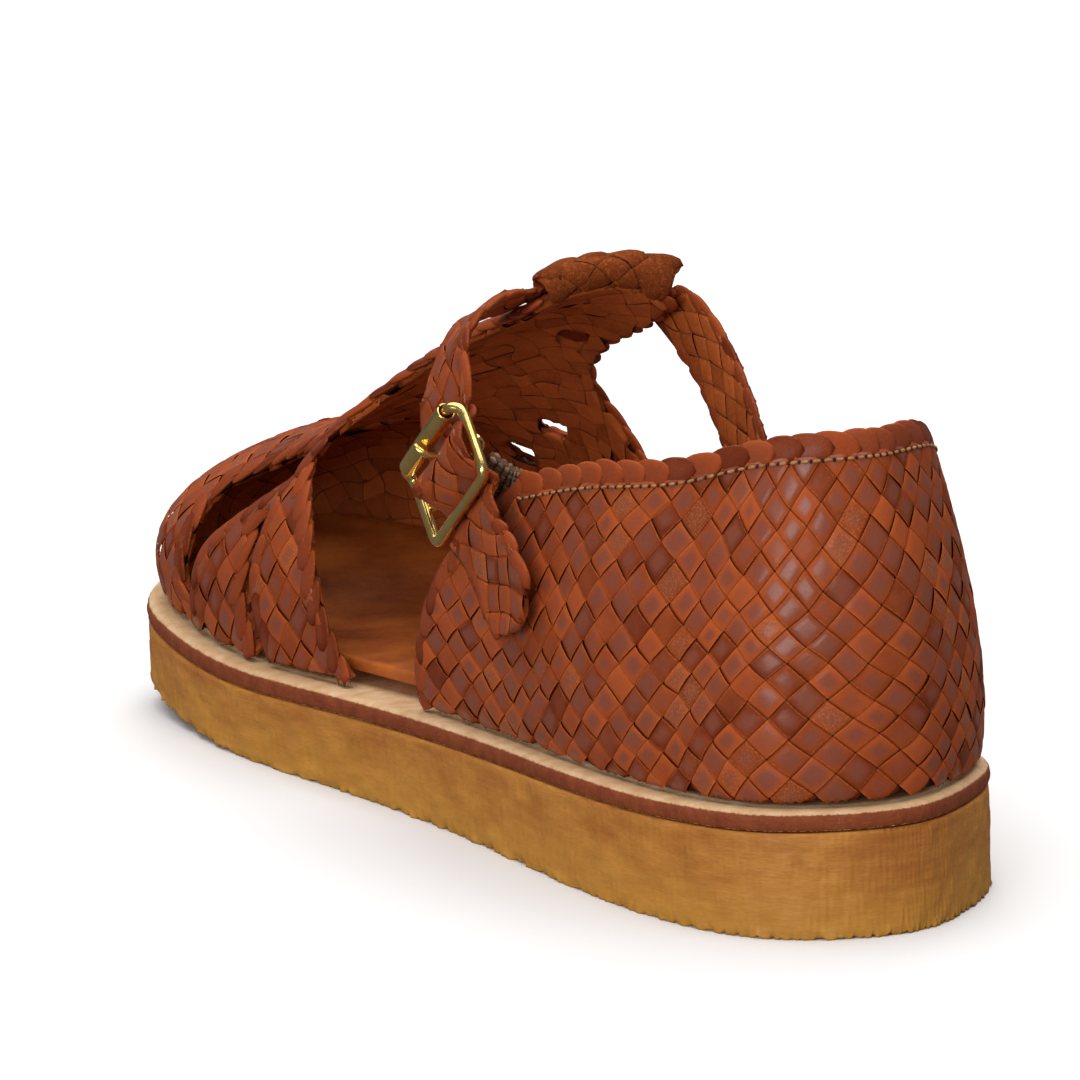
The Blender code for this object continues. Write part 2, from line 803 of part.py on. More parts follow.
def through(points, spacing):
    """Points at an even spacing along a smooth line through the given ones."""
    chord = np.concatenate([[0], np.linalg.norm(np.diff(points, axis=0), axis=1).cumsum()])
    at = np.linspace(0, chord[-1], int(round(chord[-1] / spacing)) + 1)
    return np.column_stack([spline(chord, column, at) for column in points.T])


def strap_line():
    """Middle line of the strap from its tip on the lateral quarter over to the medial one,
    and the direction across it."""
    wave = np.linspace(9.6, -8.0, 11)
    swell = 0.5 + 0.5 * np.cos(np.pi * wave / (BUCKLE_LENGTH / 2))
    slipped = SLIPPED[0] + (SLIPPED[1] - SLIPPED[0]) * swell
    low = np.interp(wave, [-BUCKLE_LENGTH / 2, BUCKLE_LENGTH / 2], UNDER[::-1])
    weave = buckle_point(wave, slipped, low + (OVER - low) * swell)
    x = np.array([-14.0, -7.0, 0.0, 8.0, 16.5])
    base, along, normal = pattern_frame(x, T_TOP + TUNNEL_MIDDLE)
    tunnel = base + normal * (STRAP_THICK / 2 + TUNNEL_GAP)
    rows = []
    for t in (STRAP, STRAP_RISE, STRAP_FALL):
        lean = t.get("lean", 0 * t["x"])
        pitch = np.radians(t.get("pitch", 0 * t["x"] + STRAP_PITCH))
        across = np.column_stack([lean, np.cos(pitch), -np.sin(pitch)])
        rows.append(np.column_stack([t["x"], t["y"], t["z"], across]))
    pitch = np.radians(STRAP_PITCH)
    level = np.array([0.0, np.cos(pitch), -np.sin(pitch)])
    weave = np.column_stack([weave, np.tile(level, (len(wave), 1))])
    tunnel = np.column_stack([tunnel, along])
    line = through(np.vstack([rows[0], weave, rows[1], tunnel, rows[2]]), 2.3)
    return line[:, :3], line[:, 3:]


def flat_rings(line, across, width, thickness):
    """Flat sections of rounded edges along a middle line; width may change along it."""
    ahead = np.gradient(line, axis=0)
    ahead /= np.linalg.norm(ahead, axis=1, keepdims=True)
    side = across - (ahead * across).sum(axis=1, keepdims=True) * ahead
    side /= np.linalg.norm(side, axis=1, keepdims=True)
    face = np.cross(side, ahead)
    section = np.array([
        (1.0, 0.0), (0.92, 0.7), (0.68, 1.0), (-0.68, 1.0), (-0.92, 0.7),
        (-1.0, 0.0), (-0.92, -0.7), (-0.68, -1.0), (0.68, -1.0), (0.92, -0.7),
    ])
    half = (np.zeros(len(line)) + width)[:, None, None] / 2
    return (line[:, None] + side[:, None] * section[None, :, :1] * half
            + face[:, None] * section[None, :, 1:] * thickness / 2)


def strap_solid():
    line, across = strap_line()
    walked = np.concatenate([[0], np.linalg.norm(np.diff(line, axis=0), axis=1).cumsum()])
    tip = np.clip(1 - walked / (STRAP_WIDTH / 2), 0, 1)
    width = np.interp(walked, NARROWING, [STRAP_WIDTH, STRAP_NARROW]) * np.sqrt(1 - 0.75 * tip**2)
    return sweep(list(flat_rings(line, across, width, STRAP_THICK)))


def elastic_solid():
    line = through(np.column_stack([ELASTIC["x"], ELASTIC["y"], ELASTIC["z"]]), 2.5)
    return sweep(list(flat_rings(line, ACROSS, ELASTIC_WIDTH, ELASTIC_THICK)))


def wire_rings(line, radius, sides=10, up=OUT):
    """Round sections of a wire along a line."""
    ahead = np.gradient(line, axis=0)
    ahead /= np.linalg.norm(ahead, axis=1, keepdims=True)
    side = np.cross(ahead, up)
    side /= np.linalg.norm(side, axis=1, keepdims=True)
    rise = np.cross(side, ahead)
    turn = np.linspace(0, 2 * np.pi, sides, endpoint=False)[None, :, None]
    radius = (np.zeros(len(line)) + radius)[:, None, None]
    return line[:, None] + radius * (side[:, None] * np.cos(turn) + rise[:, None] * np.sin(turn))


def frame_line():
    """Rounded rectangle of the buckle's frame, with its rails bowed inwards."""
    length, width = BUCKLE_LENGTH / 2 - BUCKLE_CORNER, BUCKLE_WIDTH / 2 - BUCKLE_CORNER
    corners = ((length, width), (-length, width), (-length, -width), (length, -width))
    along, across = [], []
    for quarter, (middle_along, middle_across) in enumerate(corners):
        turn = np.pi / 2 * quarter + np.linspace(0, np.pi / 2, 5)
        along.append(middle_along + BUCKLE_CORNER * np.cos(turn))
        across.append(middle_across + BUCKLE_CORNER * np.sin(turn))
        if quarter % 2 == 0:
            along.append(np.linspace(along[-1][-1], -along[-1][-1], 7)[1:-1])
            across.append(np.full(5, across[-1][-1]))
    along, across = np.concatenate(along), np.concatenate(across)
    rise = np.where(along < 0, FRONT_RISE, BAR_RISE)
    reach = np.abs(along / (BUCKLE_LENGTH / 2)) ** 3
    return buckle_point(along, across, reach * (rise + RAIL_SINK) - RAIL_SINK)


def frame_solid():
    line = frame_line()
    closed = np.vstack([line[-1:], line, line[:1]])
    return tube_ring(list(wire_rings(closed, WIRE)[1:-1]))


def centre_bar_solid():
    across = np.linspace(-BUCKLE_WIDTH / 2, BUCKLE_WIDTH / 2, 5)
    return sweep(list(wire_rings(buckle_point(0 * across, across, 0 * across - CENTRE_SINK), WIRE)))


def roller_solid():
    """Tube on the front bar, with clearance to turn."""
    ends = np.array([-0.5, 0.5, 0.5, -0.5]) * ROLLER_LENGTH
    radius = np.array([ROLLER, ROLLER, WIRE + GAP, WIRE + GAP])
    turn = np.linspace(0, 2 * np.pi, 20, endpoint=False)
    front = -BUCKLE_LENGTH / 2
    return tube_ring([
        buckle_point(front + r * np.cos(turn), end + 0 * turn, FRONT_RISE + r * np.sin(turn))
        for end, r in zip(ends, radius)
    ])


PRONG_LINE = table(       # from beside the centre bar, up through the strap, over the roller
    "along out",
    (-2.1, -2.2),
    (-2.4, -0.8),
    (-3.1, 1.2),
    (-3.9, 3.2),
    (-4.7, 4.8),
    (-5.7, 6.1),
    (-7.4, 6.55),
)


def prong_solid():
    line = through(np.column_stack([PRONG_LINE["along"], PRONG_LINE["out"]]), 1.0)
    points = buckle_point(line[:, 0], 0 * line[:, 0], line[:, 1])
    return sweep(list(wire_rings(points, PRONG, sides=8, up=ACROSS)))


def prong_hole():
    """Cutter of the hole that the prong passes through."""
    corners = [(-5.6, -1.3), (-5.6, 1.3), (-1.2, 1.3), (-1.2, -1.3)]
    along, across = np.array(corners).T
    return sweep([buckle_point(along, across, 0 * along + out) for out in (-3.0, 7.0)])


def main():
    for item in list(bpy.data.objects):
        bpy.data.objects.remove(item)
    crepe = finish("crepe", (0.50, 0.27, 0.08), 0.75)
    edge = finish("midsole_edge", (0.33, 0.13, 0.05), 0.5)
    woven = finish("woven_leather", (0.24, 0.07, 0.03), 0.4)
    lining = finish("insole_leather", (0.50, 0.22, 0.08), 0.6)
    webbing = finish("elastic_webbing", (0.35, 0.30, 0.24), 0.9)
    brass = finish("polished_brass", (0.85, 0.62, 0.28), 0.2, metallic=1.0)
    none = np.zeros_like
    make("outsole", stack([ring(none, outsole_bottom), ring(none, outsole_top)]), crepe)
    make("midsole", stack([ring(none, outsole_top, GAP), ring(none, ledge)]), edge)
    make("insole", insole_solid(), lining)
    upper = make("upper", quarter_solid(), woven)
    join(upper, [
        make("margin", margin_solid(), woven),
        make("vamp", vamp_solid(), woven),
        make("tunnel", tunnel_solid(), woven),
    ])
    strap = make("ankle_strap", strap_solid(), woven)
    cut(strap, make("prong_hole", prong_hole(), woven))
    make("elastic", elastic_solid(), webbing)
    frame = make("buckle_frame", frame_solid(), brass)
    join(frame, [make("centre_bar", centre_bar_solid(), brass)])
    make("buckle_roller", roller_solid(), brass)
    make("buckle_prong", prong_solid(), brass)


main()
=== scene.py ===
# Woven fisherman sandal, left foot: leather strips, braids, buckle and crepe sole over the CAD frame.
# Shapes are worked out in millimetres, y counted from the back of the heel, and placed in metres.
import bmesh
import bpy
import numpy as np
from mathutils import Matrix


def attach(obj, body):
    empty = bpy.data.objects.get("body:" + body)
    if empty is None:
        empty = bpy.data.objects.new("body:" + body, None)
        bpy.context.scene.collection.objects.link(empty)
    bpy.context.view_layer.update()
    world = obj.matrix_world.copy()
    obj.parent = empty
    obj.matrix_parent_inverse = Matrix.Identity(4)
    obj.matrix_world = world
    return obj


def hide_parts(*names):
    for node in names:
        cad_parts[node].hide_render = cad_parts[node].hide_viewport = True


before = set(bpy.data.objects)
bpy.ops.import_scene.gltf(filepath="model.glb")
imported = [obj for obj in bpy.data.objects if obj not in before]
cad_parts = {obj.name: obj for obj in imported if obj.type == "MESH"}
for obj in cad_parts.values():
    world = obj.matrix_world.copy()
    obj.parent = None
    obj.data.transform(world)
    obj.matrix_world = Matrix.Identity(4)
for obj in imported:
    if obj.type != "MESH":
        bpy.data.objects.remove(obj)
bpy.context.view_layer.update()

shoe = {
    "length": 268.0, "gap": 0.3,
    "crepeHeel": 19.0, "crepeToe": 11.1,      # outsole thickness
    "toeSpring": 10.8, "springStart": 0.66,
    "midsoleHeel": 3.5, "midsoleToe": 4.1,
    "ledge": 3.3, "ledgeSwing": 1.2,          # midsole showing round the upper
    "wall": 2.6,                              # thickness of the woven leather
    "tipX": 4.5, "toeStation": 0.84, "backStation": 0.36,
}


# Table of numbers: one named array for each column.
def table(header, *rows):
    return dict(zip(header.split(), np.array(rows, float).T))


outlineRows = table(
    "station lateral medial",
    (0.030, 20.2, 17.3), (0.10, 30.1, 32.0), (0.22, 34.3, 33.0),
    (0.40, 35.3, 30.3), (0.56, 39.3, 36.0), (0.70, 44.3, 43.9),
    (0.82, 44.1, 42.0), (0.92, 37.2, 31.0), (0.975, 18.6, 19.0),
)
ridgeRows = table(
    "station rise offset square swell",
    (0.36, 88.0, 3.0, 0.42, 0.0), (0.41, 82.5, 3.0, 0.42, 0.0), (0.46, 76.5, 3.0, 0.46, 0.0),
    (0.52, 72.0, 3.0, 0.52, 0.0), (0.58, 66.5, 3.0, 0.60, 0.5), (0.64, 59.5, 3.0, 0.68, 1.2),
    (0.70, 51.5, 3.5, 0.74, 2.0), (0.76, 44.3, 4.0, 0.78, 2.8), (0.82, 38.5, 4.5, 0.80, 3.2),
    (0.88, 34.0, 5.0, 0.80, 3.2), (0.94, 29.0, 5.0, 0.80, 3.2), (1.00, 24.0, 4.5, 0.80, 3.2),
)


# Natural cubic spline: each span is a cubic whose second derivative runs straight between knots.
def spline(knots, values, at):
    x, y = np.asarray(knots, float), np.asarray(values, float)
    at = np.clip(at, x[0], x[-1])
    h = np.diff(x)
    inner = np.arange(1, len(x) - 1)
    system = np.eye(len(x))
    system[inner, inner - 1] = h[:-1]
    system[inner, inner] = 2 * (h[:-1] + h[1:])
    system[inner, inner + 1] = h[1:]
    target = np.zeros(len(x))
    target[inner] = 6 * np.diff(np.diff(y) / h)
    bend = np.linalg.solve(system, target)
    i = np.clip(np.searchsorted(x, at) - 1, 0, len(x) - 2)
    left, right, width = x[i + 1] - at, at - x[i], h[i]
    return (
        (bend[i] * left**3 + bend[i + 1] * right**3) / (6 * width)
        + (y[i] / width - bend[i] * width / 6) * left
        + (y[i + 1] / width - bend[i + 1] * width / 6) * right
    )


# Distance walked along a line of points: the running sum of its steps' lengths.
def walked(points):
    return np.concatenate([[0], np.linalg.norm(np.diff(points, axis=0), axis=1).cumsum()])


# Smooth rise from 0 to 1: x squared times (3 - 2x).
def smoothStep(x):
    x = np.clip(x, 0, 1)
    return x * x * (3 - 2 * x)


# Repeatable random numbers from 0 to 1: the fraction of a large sine of whole numbers.
def scatter(first, second=0, seed=0):
    return np.abs(np.sin(first * 12.9898 + second * 78.233 + seed * 37.719) * 43758.5453) % 1


# Vectors divided by their own lengths.
def unit(vectors):
    return vectors / np.linalg.norm(vectors, axis=-1, keepdims=True)


# Angle round the sole of a place y along it: cos angle = 1 - 2 y / length.
def outlineAngle(y):
    return np.arccos(np.clip(1 - 2 * np.asarray(y) / shoe["length"], -1, 1))


# Place along the sole of an angle round it: y = length * (1 - cos angle) / 2.
def outlineY(angle):
    return shoe["length"] * (1 - np.cos(angle)) / 2


# Sole outline: x is a periodic spline of the angle, y = length * (1 - cos angle) / 2, moved inwards
# along its normal. Negative angles are the lateral side.
def outline(angle, inset=0.0):
    knot = outlineAngle(outlineRows["station"] * shoe["length"])
    knot = np.concatenate([-knot[::-1], [0], knot, [np.pi]])
    x = np.concatenate([-outlineRows["lateral"][::-1], [0], outlineRows["medial"], [shoe["tipX"]]])
    knots = np.concatenate([knot - 2 * np.pi, knot, knot + 2 * np.pi])
    xs = np.tile(x, 3)

    def onEdge(a):
        return np.stack([spline(knots, xs, a), outlineY(a)], axis=-1)

    along = unit(onEdge(angle + 1e-3) - onEdge(angle - 1e-3))
    inwards = np.stack([-along[..., 1], along[..., 0]], axis=-1)
    return onEdge(angle) + inwards * np.asarray(inset)[..., None]


# Underside of the crepe: flat, then toe spring times the square of the share of the way to the tip.
def soleBottom(y):
    start = shoe["springStart"]
    return shoe["toeSpring"] * np.clip((y / shoe["length"] - start) / (1 - start), 0, 1) ** 2


# Top of the crepe: its thickness runs straight from heel to toe.
def soleTop(y):
    thinning = (shoe["crepeToe"] - shoe["crepeHeel"]) * y / shoe["length"]
    return soleBottom(y) + shoe["crepeHeel"] + thinning


# Top of the midsole: its thickness runs straight from heel to toe, above a gap.
def ledge(y):
    growth = (shoe["midsoleToe"] - shoe["midsoleHeel"]) * y / shoe["length"]
    return soleTop(y) + shoe["gap"] + shoe["midsoleHeel"] + growth


# Width of the ledge round the upper: its mean less a sine of the angle, so wider on the lateral side.
def ledgeWidth(angle):
    return shoe["ledge"] - shoe["ledgeSwing"] * np.sin(angle)


# The vamp's sections run across the shoe behind the toe centre and are fanned round it in front.
toeY = shoe["toeStation"] * shoe["length"]
backY = shoe["backStation"] * shoe["length"]
sectionCount, sectionSteps = 64, 96
footAngle = np.linspace(0, np.pi, 721)
lateralFoot, medialFoot = [outline(a, ledgeWidth(a)) for a in (-footAngle, footAngle)]


# Value of a column of the ridge's table at a place y along the shoe.
def ridge(column, y):
    return spline(ridgeRows["station"], ridgeRows[column], y / shoe["length"])


toeFoot = np.vstack([lateralFoot, medialFoot[::-1]]) - [ridge("offset", toeY), toeY]
toeBearing = np.arctan2(toeFoot[:, 0], toeFoot[:, 1])
toeFoot, toeBearing = toeFoot[np.abs(toeBearing) < 1.75], toeBearing[np.abs(toeBearing) < 1.75]


# Point of a section, share of the way out from the ridge: height = rise * (1 - share^2)^(square / 2),
# a superellipse, and distance out = reach * share, swollen half way down.
def sectionPoint(baseY, bearing, share):
    offset = ridge("offset", baseY)
    dome = np.interp(bearing, toeBearing, np.hypot(*toeFoot.T))
    lateral = offset - np.interp(baseY, lateralFoot[:, 1], lateralFoot[:, 0])
    medial = np.interp(baseY, medialFoot[:, 1], medialFoot[:, 0]) - offset
    reach = np.where(baseY < toeY, np.where(bearing < 0, lateral, medial), dome)
    fall = (1 - np.minimum(share, 1) ** 2) ** (ridge("square", baseY) / 2)
    out = reach * share + ridge("swell", baseY) * 4 * fall * (1 - fall)
    x = offset + out * np.sin(bearing)
    y = baseY + out * np.cos(bearing) * (baseY >= toeY)
    z = ledge(y) + shoe["gap"] + (ridge("rise", y) - shoe["gap"]) * fall
    return np.stack([x, y, z], axis=-1)


# Length of each section from ridge to foot, and the shares that divide it into even steps.
def sectionLengths():
    along = np.linspace(backY, toeY, sectionCount)
    right = np.full(sectionCount, np.pi / 2)
    fan = np.linspace(-np.pi / 2, np.pi / 2, 2 * sectionCount)
    base = np.concatenate([along, np.full(len(fan), toeY + 1e-6), along[::-1]])
    bearing = np.concatenate([-right, fan, right])
    share = np.sin(np.linspace(0, np.pi / 2, 4 * sectionSteps))
    points = sectionPoint(base[:, None], bearing[:, None], share[None, :])
    length = np.linalg.norm(np.diff(points, axis=1), axis=-1).cumsum(axis=1)
    length = np.hstack([np.zeros((len(base), 1)), length])
    even = np.linspace(0, 1, sectionSteps)
    return length[:, -1], np.array([np.interp(even * row[-1], row, share) for row in length])


girths, girthShares = sectionLengths()


# Number of the section that a pattern point lies on, with its fraction.
def sectionNumber(x, y):
    along = (np.clip(y, backY, toeY) - backY) / (toeY - backY) * (sectionCount - 1)
    turn = np.arctan2(x, np.maximum(y - toeY, 0)) / np.pi + 0.5
    sides = np.where(x < 0, along, len(girths) - 1 - along)
    return np.where(y < toeY, sides, sectionCount + turn * (2 * sectionCount - 1))


# Length of the section through a pattern point, straight between its neighbours'.
def girth(x, y):
    return np.interp(sectionNumber(x, y), np.arange(len(girths)), girths)


# Values at fractional rows and columns of a grid: a mean of the four corners, weighted by nearness.
def between(grid, row, column):
    i, j = row.astype(int), column.astype(int)
    i, j = np.minimum(i, grid.shape[0] - 2), np.minimum(j, grid.shape[1] - 2)
    down, across = row - i, column - j
    return (
        grid[i, j] * (1 - down) * (1 - across) + grid[i, j + 1] * (1 - down) * across
        + grid[i + 1, j] * down * (1 - across) + grid[i + 1, j + 1] * down * across
    )


# Flat pattern (girth from the ridge, distance from the heel) wrapped over the vamp's sections.
def vampSurface(pattern):
    x, y = pattern[..., 0], pattern[..., 1]
    ahead = np.maximum(y - toeY, 0)
    step = np.clip(np.hypot(x, ahead) / girth(x, y), 0, 1) * (sectionSteps - 1)
    share = between(girthShares, np.maximum(sectionNumber(x, y), 0), step)
    return sectionPoint(np.where(y < toeY, y, toeY + 1e-6), np.arctan2(x, ahead), share)


# Counter and quarters. Their pattern is the distance round from the heel and the distance above the
# top edge, which is negative.
quarter = {
    "rows": table(
        "station top lean",
        (0.00, 86.0, 8.5), (0.06, 84.2, 7.8), (0.12, 80.2, 6.5), (0.23, 75.2, 4.0), (0.33, 69.0, 2.5),
    ),
    "frontEdge": table(
        "height reach",
        (15.0, 126.0), (39.0, 123.5), (50.0, 116.0), (60.0, 104.0), (69.0, 89.0),
    ),
    "frontTop": 69.0, "frontY": 89.0, "inset": 0.5, "swell": 2.0, "leanPower": 2.2,
    "wall": (-0.75, -1.5), "lining": (-1.55, -2.6), "stitchDrop": 4.0,
}
quarterAngles = np.linspace(-1.75, 1.75, 1401)
quarterPlan = outline(quarterAngles, ledgeWidth(quarterAngles) + quarter["inset"])
quarterArc = walked(quarterPlan)
quarterArc -= quarterArc[700]


# Height of the quarter over the ledge, from the spline of its top edge.
def quarterTall(arc):
    y = outlineY(np.interp(arc, quarterArc, quarterAngles))
    top = spline(quarter["rows"]["station"], quarter["rows"]["top"], y / shoe["length"])
    return top - ledge(y) - shoe["gap"]


# Point of the quarter: the sole's outline moved inwards by lean * share^2.2, less a swell that goes as
# share^0.5 * (1 - share)^1.5, where share is the height's share; 3.08 makes the peak of that 1.
def quarterSurface(pattern):
    angle = np.interp(pattern[..., 0], quarterArc, quarterAngles)
    y = outlineY(angle)
    tall = quarterTall(pattern[..., 0])
    share = np.maximum(1 + pattern[..., 1] / tall, 0)
    lean = spline(quarter["rows"]["station"], quarter["rows"]["lean"], y / shoe["length"])
    swell = quarter["swell"] * 3.08 * share**0.5 * np.maximum(1 - share, 0) ** 1.5
    plan = outline(angle, ledgeWidth(angle) + lean * share ** quarter["leanPower"] - swell)
    return np.concatenate([plan, (ledge(y) + shoe["gap"] + share * tall)[..., None]], axis=-1)


# Point on a surface, raised along its normal, which is the cross product of its two slopes.
def lifted(surface, pattern, lift):
    slopes = [surface(pattern + step) - surface(pattern - step) for step in np.eye(2) * 0.3]
    return surface(pattern) + unit(np.cross(*slopes)) * np.asarray(lift)[..., None]


# Pattern edges of the vamp: the T-bar, the bands, the slits between them and the openings.
patternEdges = {
    "lateralRear": [
        (16.5, 118), (15.5, 124), (15.5, 134), (18.5, 153), (21, 168), (25, 177.5), (31.5, 180.5),
        (38.5, 178.5), (45.5, 174), (52.5, 169.5), (60, 166.5), (69, 163.5), (78, 159), (88, 152.5)],
    "medialRear": [
        (16.5, 118), (17, 124), (18.5, 134), (19.5, 150), (22, 163.5), (26.5, 170.5), (33.5, 172.5),
        (42, 171), (51, 166.5), (60, 162.5), (69, 159.5), (78, 156), (88, 151)],
    "lateralSlit": [
        (88, 178.5), (72, 184.8), (64, 187), (55, 186.5), (48.5, 186.8), (48.5, 187.4),
        (55, 190), (64, 191.3), (72, 189.5), (88, 186)],
    "medialSlit": [
        (88, 174.5), (72, 180.5), (64, 182.5), (55, 182.5), (48.5, 182.8), (48.5, 183.4),
        (55, 186.5), (64, 187.8), (72, 186.5), (88, 183)],
    "lateralOpening": [
        (39, 179.5), (43.5, 189.5), (46.5, 198.5), (50.5, 207.5), (57.5, 213.5), (64, 217),
        (61.5, 219), (50, 220.3), (40, 221), (35, 214), (32, 203), (33.5, 190)],
    "medialOpening": [
        (44, 181.5), (48, 189.5), (50.5, 198), (53.5, 206), (58.5, 212), (64, 216),
        (61, 218.2), (54.5, 218.6), (49.5, 216.5), (46, 210), (43.5, 202), (42, 190)],
    "toeOpening": [(-2, 214), (3, 223), (3.5, 233), (-1, 243), (-6, 235), (-7.5, 224)],
}
tTop = 118.0


# Smooth line through points: a spline of the distance walked, about a millimetre between points.
def curveThrough(points, closed=False):
    points = np.asarray(points, float)
    if closed:
        points = np.vstack([points[-3:], points, points[:3]])
    chord = walked(points)
    start, end = (chord[3], chord[-3]) if closed else (chord[0], chord[-1])
    at = np.linspace(start, end, max(3, int(end - start)))
    line = np.column_stack([spline(chord, column, at) for column in points.T])
    return line[:-1] if closed else line


# Points of a spline through rows of numbers, at an even spacing of about the one given.
def resampled(rows, spacing):
    chord = walked(rows)
    at = np.linspace(0, chord[-1], int(round(chord[-1] / spacing)) + 1)
    return np.column_stack([spline(chord, column, at) for column in rows.T])


# Pattern points at the foot of the vamp: as far from the ridge as the section is long.
def footPoints(y, side):
    return np.column_stack([side * girth(side + 0 * y, y), y])


# A pattern edge on one side, cut off where it reaches the foot of the vamp.
def edgeOnSide(name, side):
    line = curveThrough(patternEdges[name]) * [side, 1]
    return line[np.abs(line[:, 0]) < girth(line[:, 0], line[:, 1]) - 0.4]


# Outline of one half of the pattern: rear edge, foot, slit, and foot again as far as the toe centre.
def halfOutline(rear, slit, side):
    rearLine, slitLine = edgeOnSide(rear, side), edgeOnSide(slit, side)
    return np.vstack([
        rearLine,
        footPoints(np.linspace(rearLine[-1, 1], slitLine[0, 1], 20), side),
        slitLine,
        footPoints(np.linspace(slitLine[-1, 1], toeY, 40), side),
    ])


# Closed outlines of the vamp's pattern: the whole, with a fan of girths round the toe, and its holes.
def vampLoops():
    lateral = halfOutline("lateralRear", "lateralSlit", -1)
    medial = halfOutline("medialRear", "medialSlit", 1)
    bearing = np.linspace(-np.pi / 2, np.pi / 2, 90)
    fan = np.linspace(-np.pi / 2, np.pi / 2, 2 * sectionCount)
    reach = np.interp(bearing, fan, girths[sectionCount:3 * sectionCount])
    toe = np.column_stack([reach * np.sin(bearing), toeY + 0.01 + reach * np.cos(bearing)])
    loops = [np.vstack([lateral, toe, medial[::-1]])]
    for name, side in (("lateralOpening", -1), ("medialOpening", 1), ("toeOpening", 1)):
        loops.append(curveThrough(patternEdges[name], closed=True) * [side, 1])
    return loops


# Whether points lie inside a loop: a ray towards +x crosses it an odd number of times.
def insideLoop(points, loop):
    a, b = loop, np.roll(loop, -1, axis=0)
    x, y = points[:, None, 0], points[:, None, 1]
    crosses = (a[:, 1] > y) != (b[:, 1] > y)
    slope = (b[:, 0] - a[:, 0]) / np.where(b[:, 1] == a[:, 1], 1e-9, b[:, 1] - a[:, 1])
    return (crosses & (x < a[:, 0] + (y - a[:, 1]) * slope)).sum(axis=1) % 2 == 1


# Signed distance to a pattern's edges on a square grid, positive inside: the least distance to points
# set close together along the loops.
def edgeField(loops, step=0.8, border=8):
    dense = []
    for loop in loops:
        rim = np.vstack([loop, loop[:1]])
        chord = walked(rim)
        at = np.arange(0, chord[-1], 0.6)
        dense.append(np.column_stack([np.interp(at, chord, rim[:, k]) for k in (0, 1)]))
    dense = np.vstack(dense)
    low = dense.min(axis=0) - border
    count = ((dense.max(axis=0) + border - low) / step).astype(int) + 2
    x, y = [low[k] + step * np.arange(count[k]) for k in (0, 1)]
    sideways = (x[:, None] - dense[None, :, 0]) ** 2
    away = np.array([(sideways + (row - dense[None, :, 1]) ** 2).min(axis=1) for row in y])
    grid = np.stack(np.meshgrid(x, y), axis=-1).reshape(-1, 2)
    inside = sum(insideLoop(grid, loop).astype(int) for loop in loops).reshape(away.shape)
    return {"low": low, "step": step, "distance": np.sqrt(away) * np.where(inside % 2 == 1, 1, -1)}


# Distance from pattern points to the edge, read from the grid.
def edgeDistance(field, pattern):
    rows, columns = field["distance"].shape
    at = (pattern - field["low"]) / field["step"]
    row, column = np.clip(at[..., 1], 0, rows - 1.001), np.clip(at[..., 0], 0, columns - 1.001)
    return between(field["distance"], row, column)


# Direction away from the nearest edge: the slope of that distance, made a unit long.
def edgeInwards(field, pattern):
    slope = np.stack([
        edgeDistance(field, pattern + step) - edgeDistance(field, pattern - step)
        for step in np.eye(2) * 0.8
    ], axis=-1)
    return slope / np.maximum(np.linalg.norm(slope, axis=-1, keepdims=True), 1e-6)


# Moves pattern points that lie nearer the edge than keep, or past it, to that distance inside.
def pulledInside(field, pattern, keep):
    lack = np.maximum(keep - edgeDistance(field, pattern), 0)
    return pattern + edgeInwards(field, pattern) * lack[..., None], lack


# Quads between neighbouring points of a grid, joined round where it closes.
def gridFaces(rows, columns, closeRows=False, closeColumns=False):
    r = np.arange(rows - (not closeRows))[:, None]
    c = np.arange(columns - (not closeColumns))[None, :]
    nextR, nextC = (r + 1) % rows, (c + 1) % columns
    corners = [r * columns + c, r * columns + nextC, nextR * columns + nextC, nextR * columns + c]
    return np.stack(corners, axis=-1).reshape(-1, 4)


# Faces of many equal grids, each counted on from the one before.
def manyGrids(count, faces, points):
    return (np.arange(count)[:, None, None] * points + faces[None]).reshape(-1, 4)


# Slow wander of the strips: crossed sines a few cells long, and broader ones of their own amount.
# Beyond widened the cells grow a quarter wider.
def wandered(pattern, amount, drift=0.0, widened=None):
    x, y = pattern[..., 0], pattern[..., 1]
    if widened is not None:
        x = x + 0.25 * np.minimum(x - widened, 0)
    return np.stack([x, y], axis=-1) + amount * np.stack([
        np.sin(x * 0.31 + 1.7 * np.sin(y * 0.23)) + 0.6 * np.sin(y * 0.57 + x * 0.13),
        np.sin(y * 0.29 + 1.3 * np.sin(x * 0.27)) + 0.6 * np.sin(x * 0.61 - y * 0.17),
    ], axis=-1) + drift * np.stack([
        np.sin(0.105 * x + 1.1 * np.sin(0.08 * y)), np.sin(0.11 * y + 1.4 * np.sin(0.07 * x) + 2),
    ], axis=-1)


# Crossings of a weave that lie in a panel: centre = origin + i * first + j * second, for whole i and j.
def crossings(field, weave, bends):
    e1, e2 = np.array(weave["first"], float), np.array(weave["second"], float)
    low = field["low"]
    high = low + field["step"] * np.array(field["distance"].shape[::-1])
    corners = np.array([(x, y) for x in (low[0], high[0]) for y in (low[1], high[1])]) - weave["origin"]
    ij = np.linalg.solve(np.column_stack([e1, e2]), corners.T)
    i, j = np.meshgrid(*[np.arange(int(v.min()) - 1, int(v.max()) + 2) for v in ij])
    i, j = i.ravel(), j.ravel()
    centre = weave["origin"] + i[:, None] * e1 + j[:, None] * e2
    kept = edgeDistance(field, wandered(centre, *bends)) > weave["margin"]
    return i[kept], j[kept], centre[kept], e1, e2


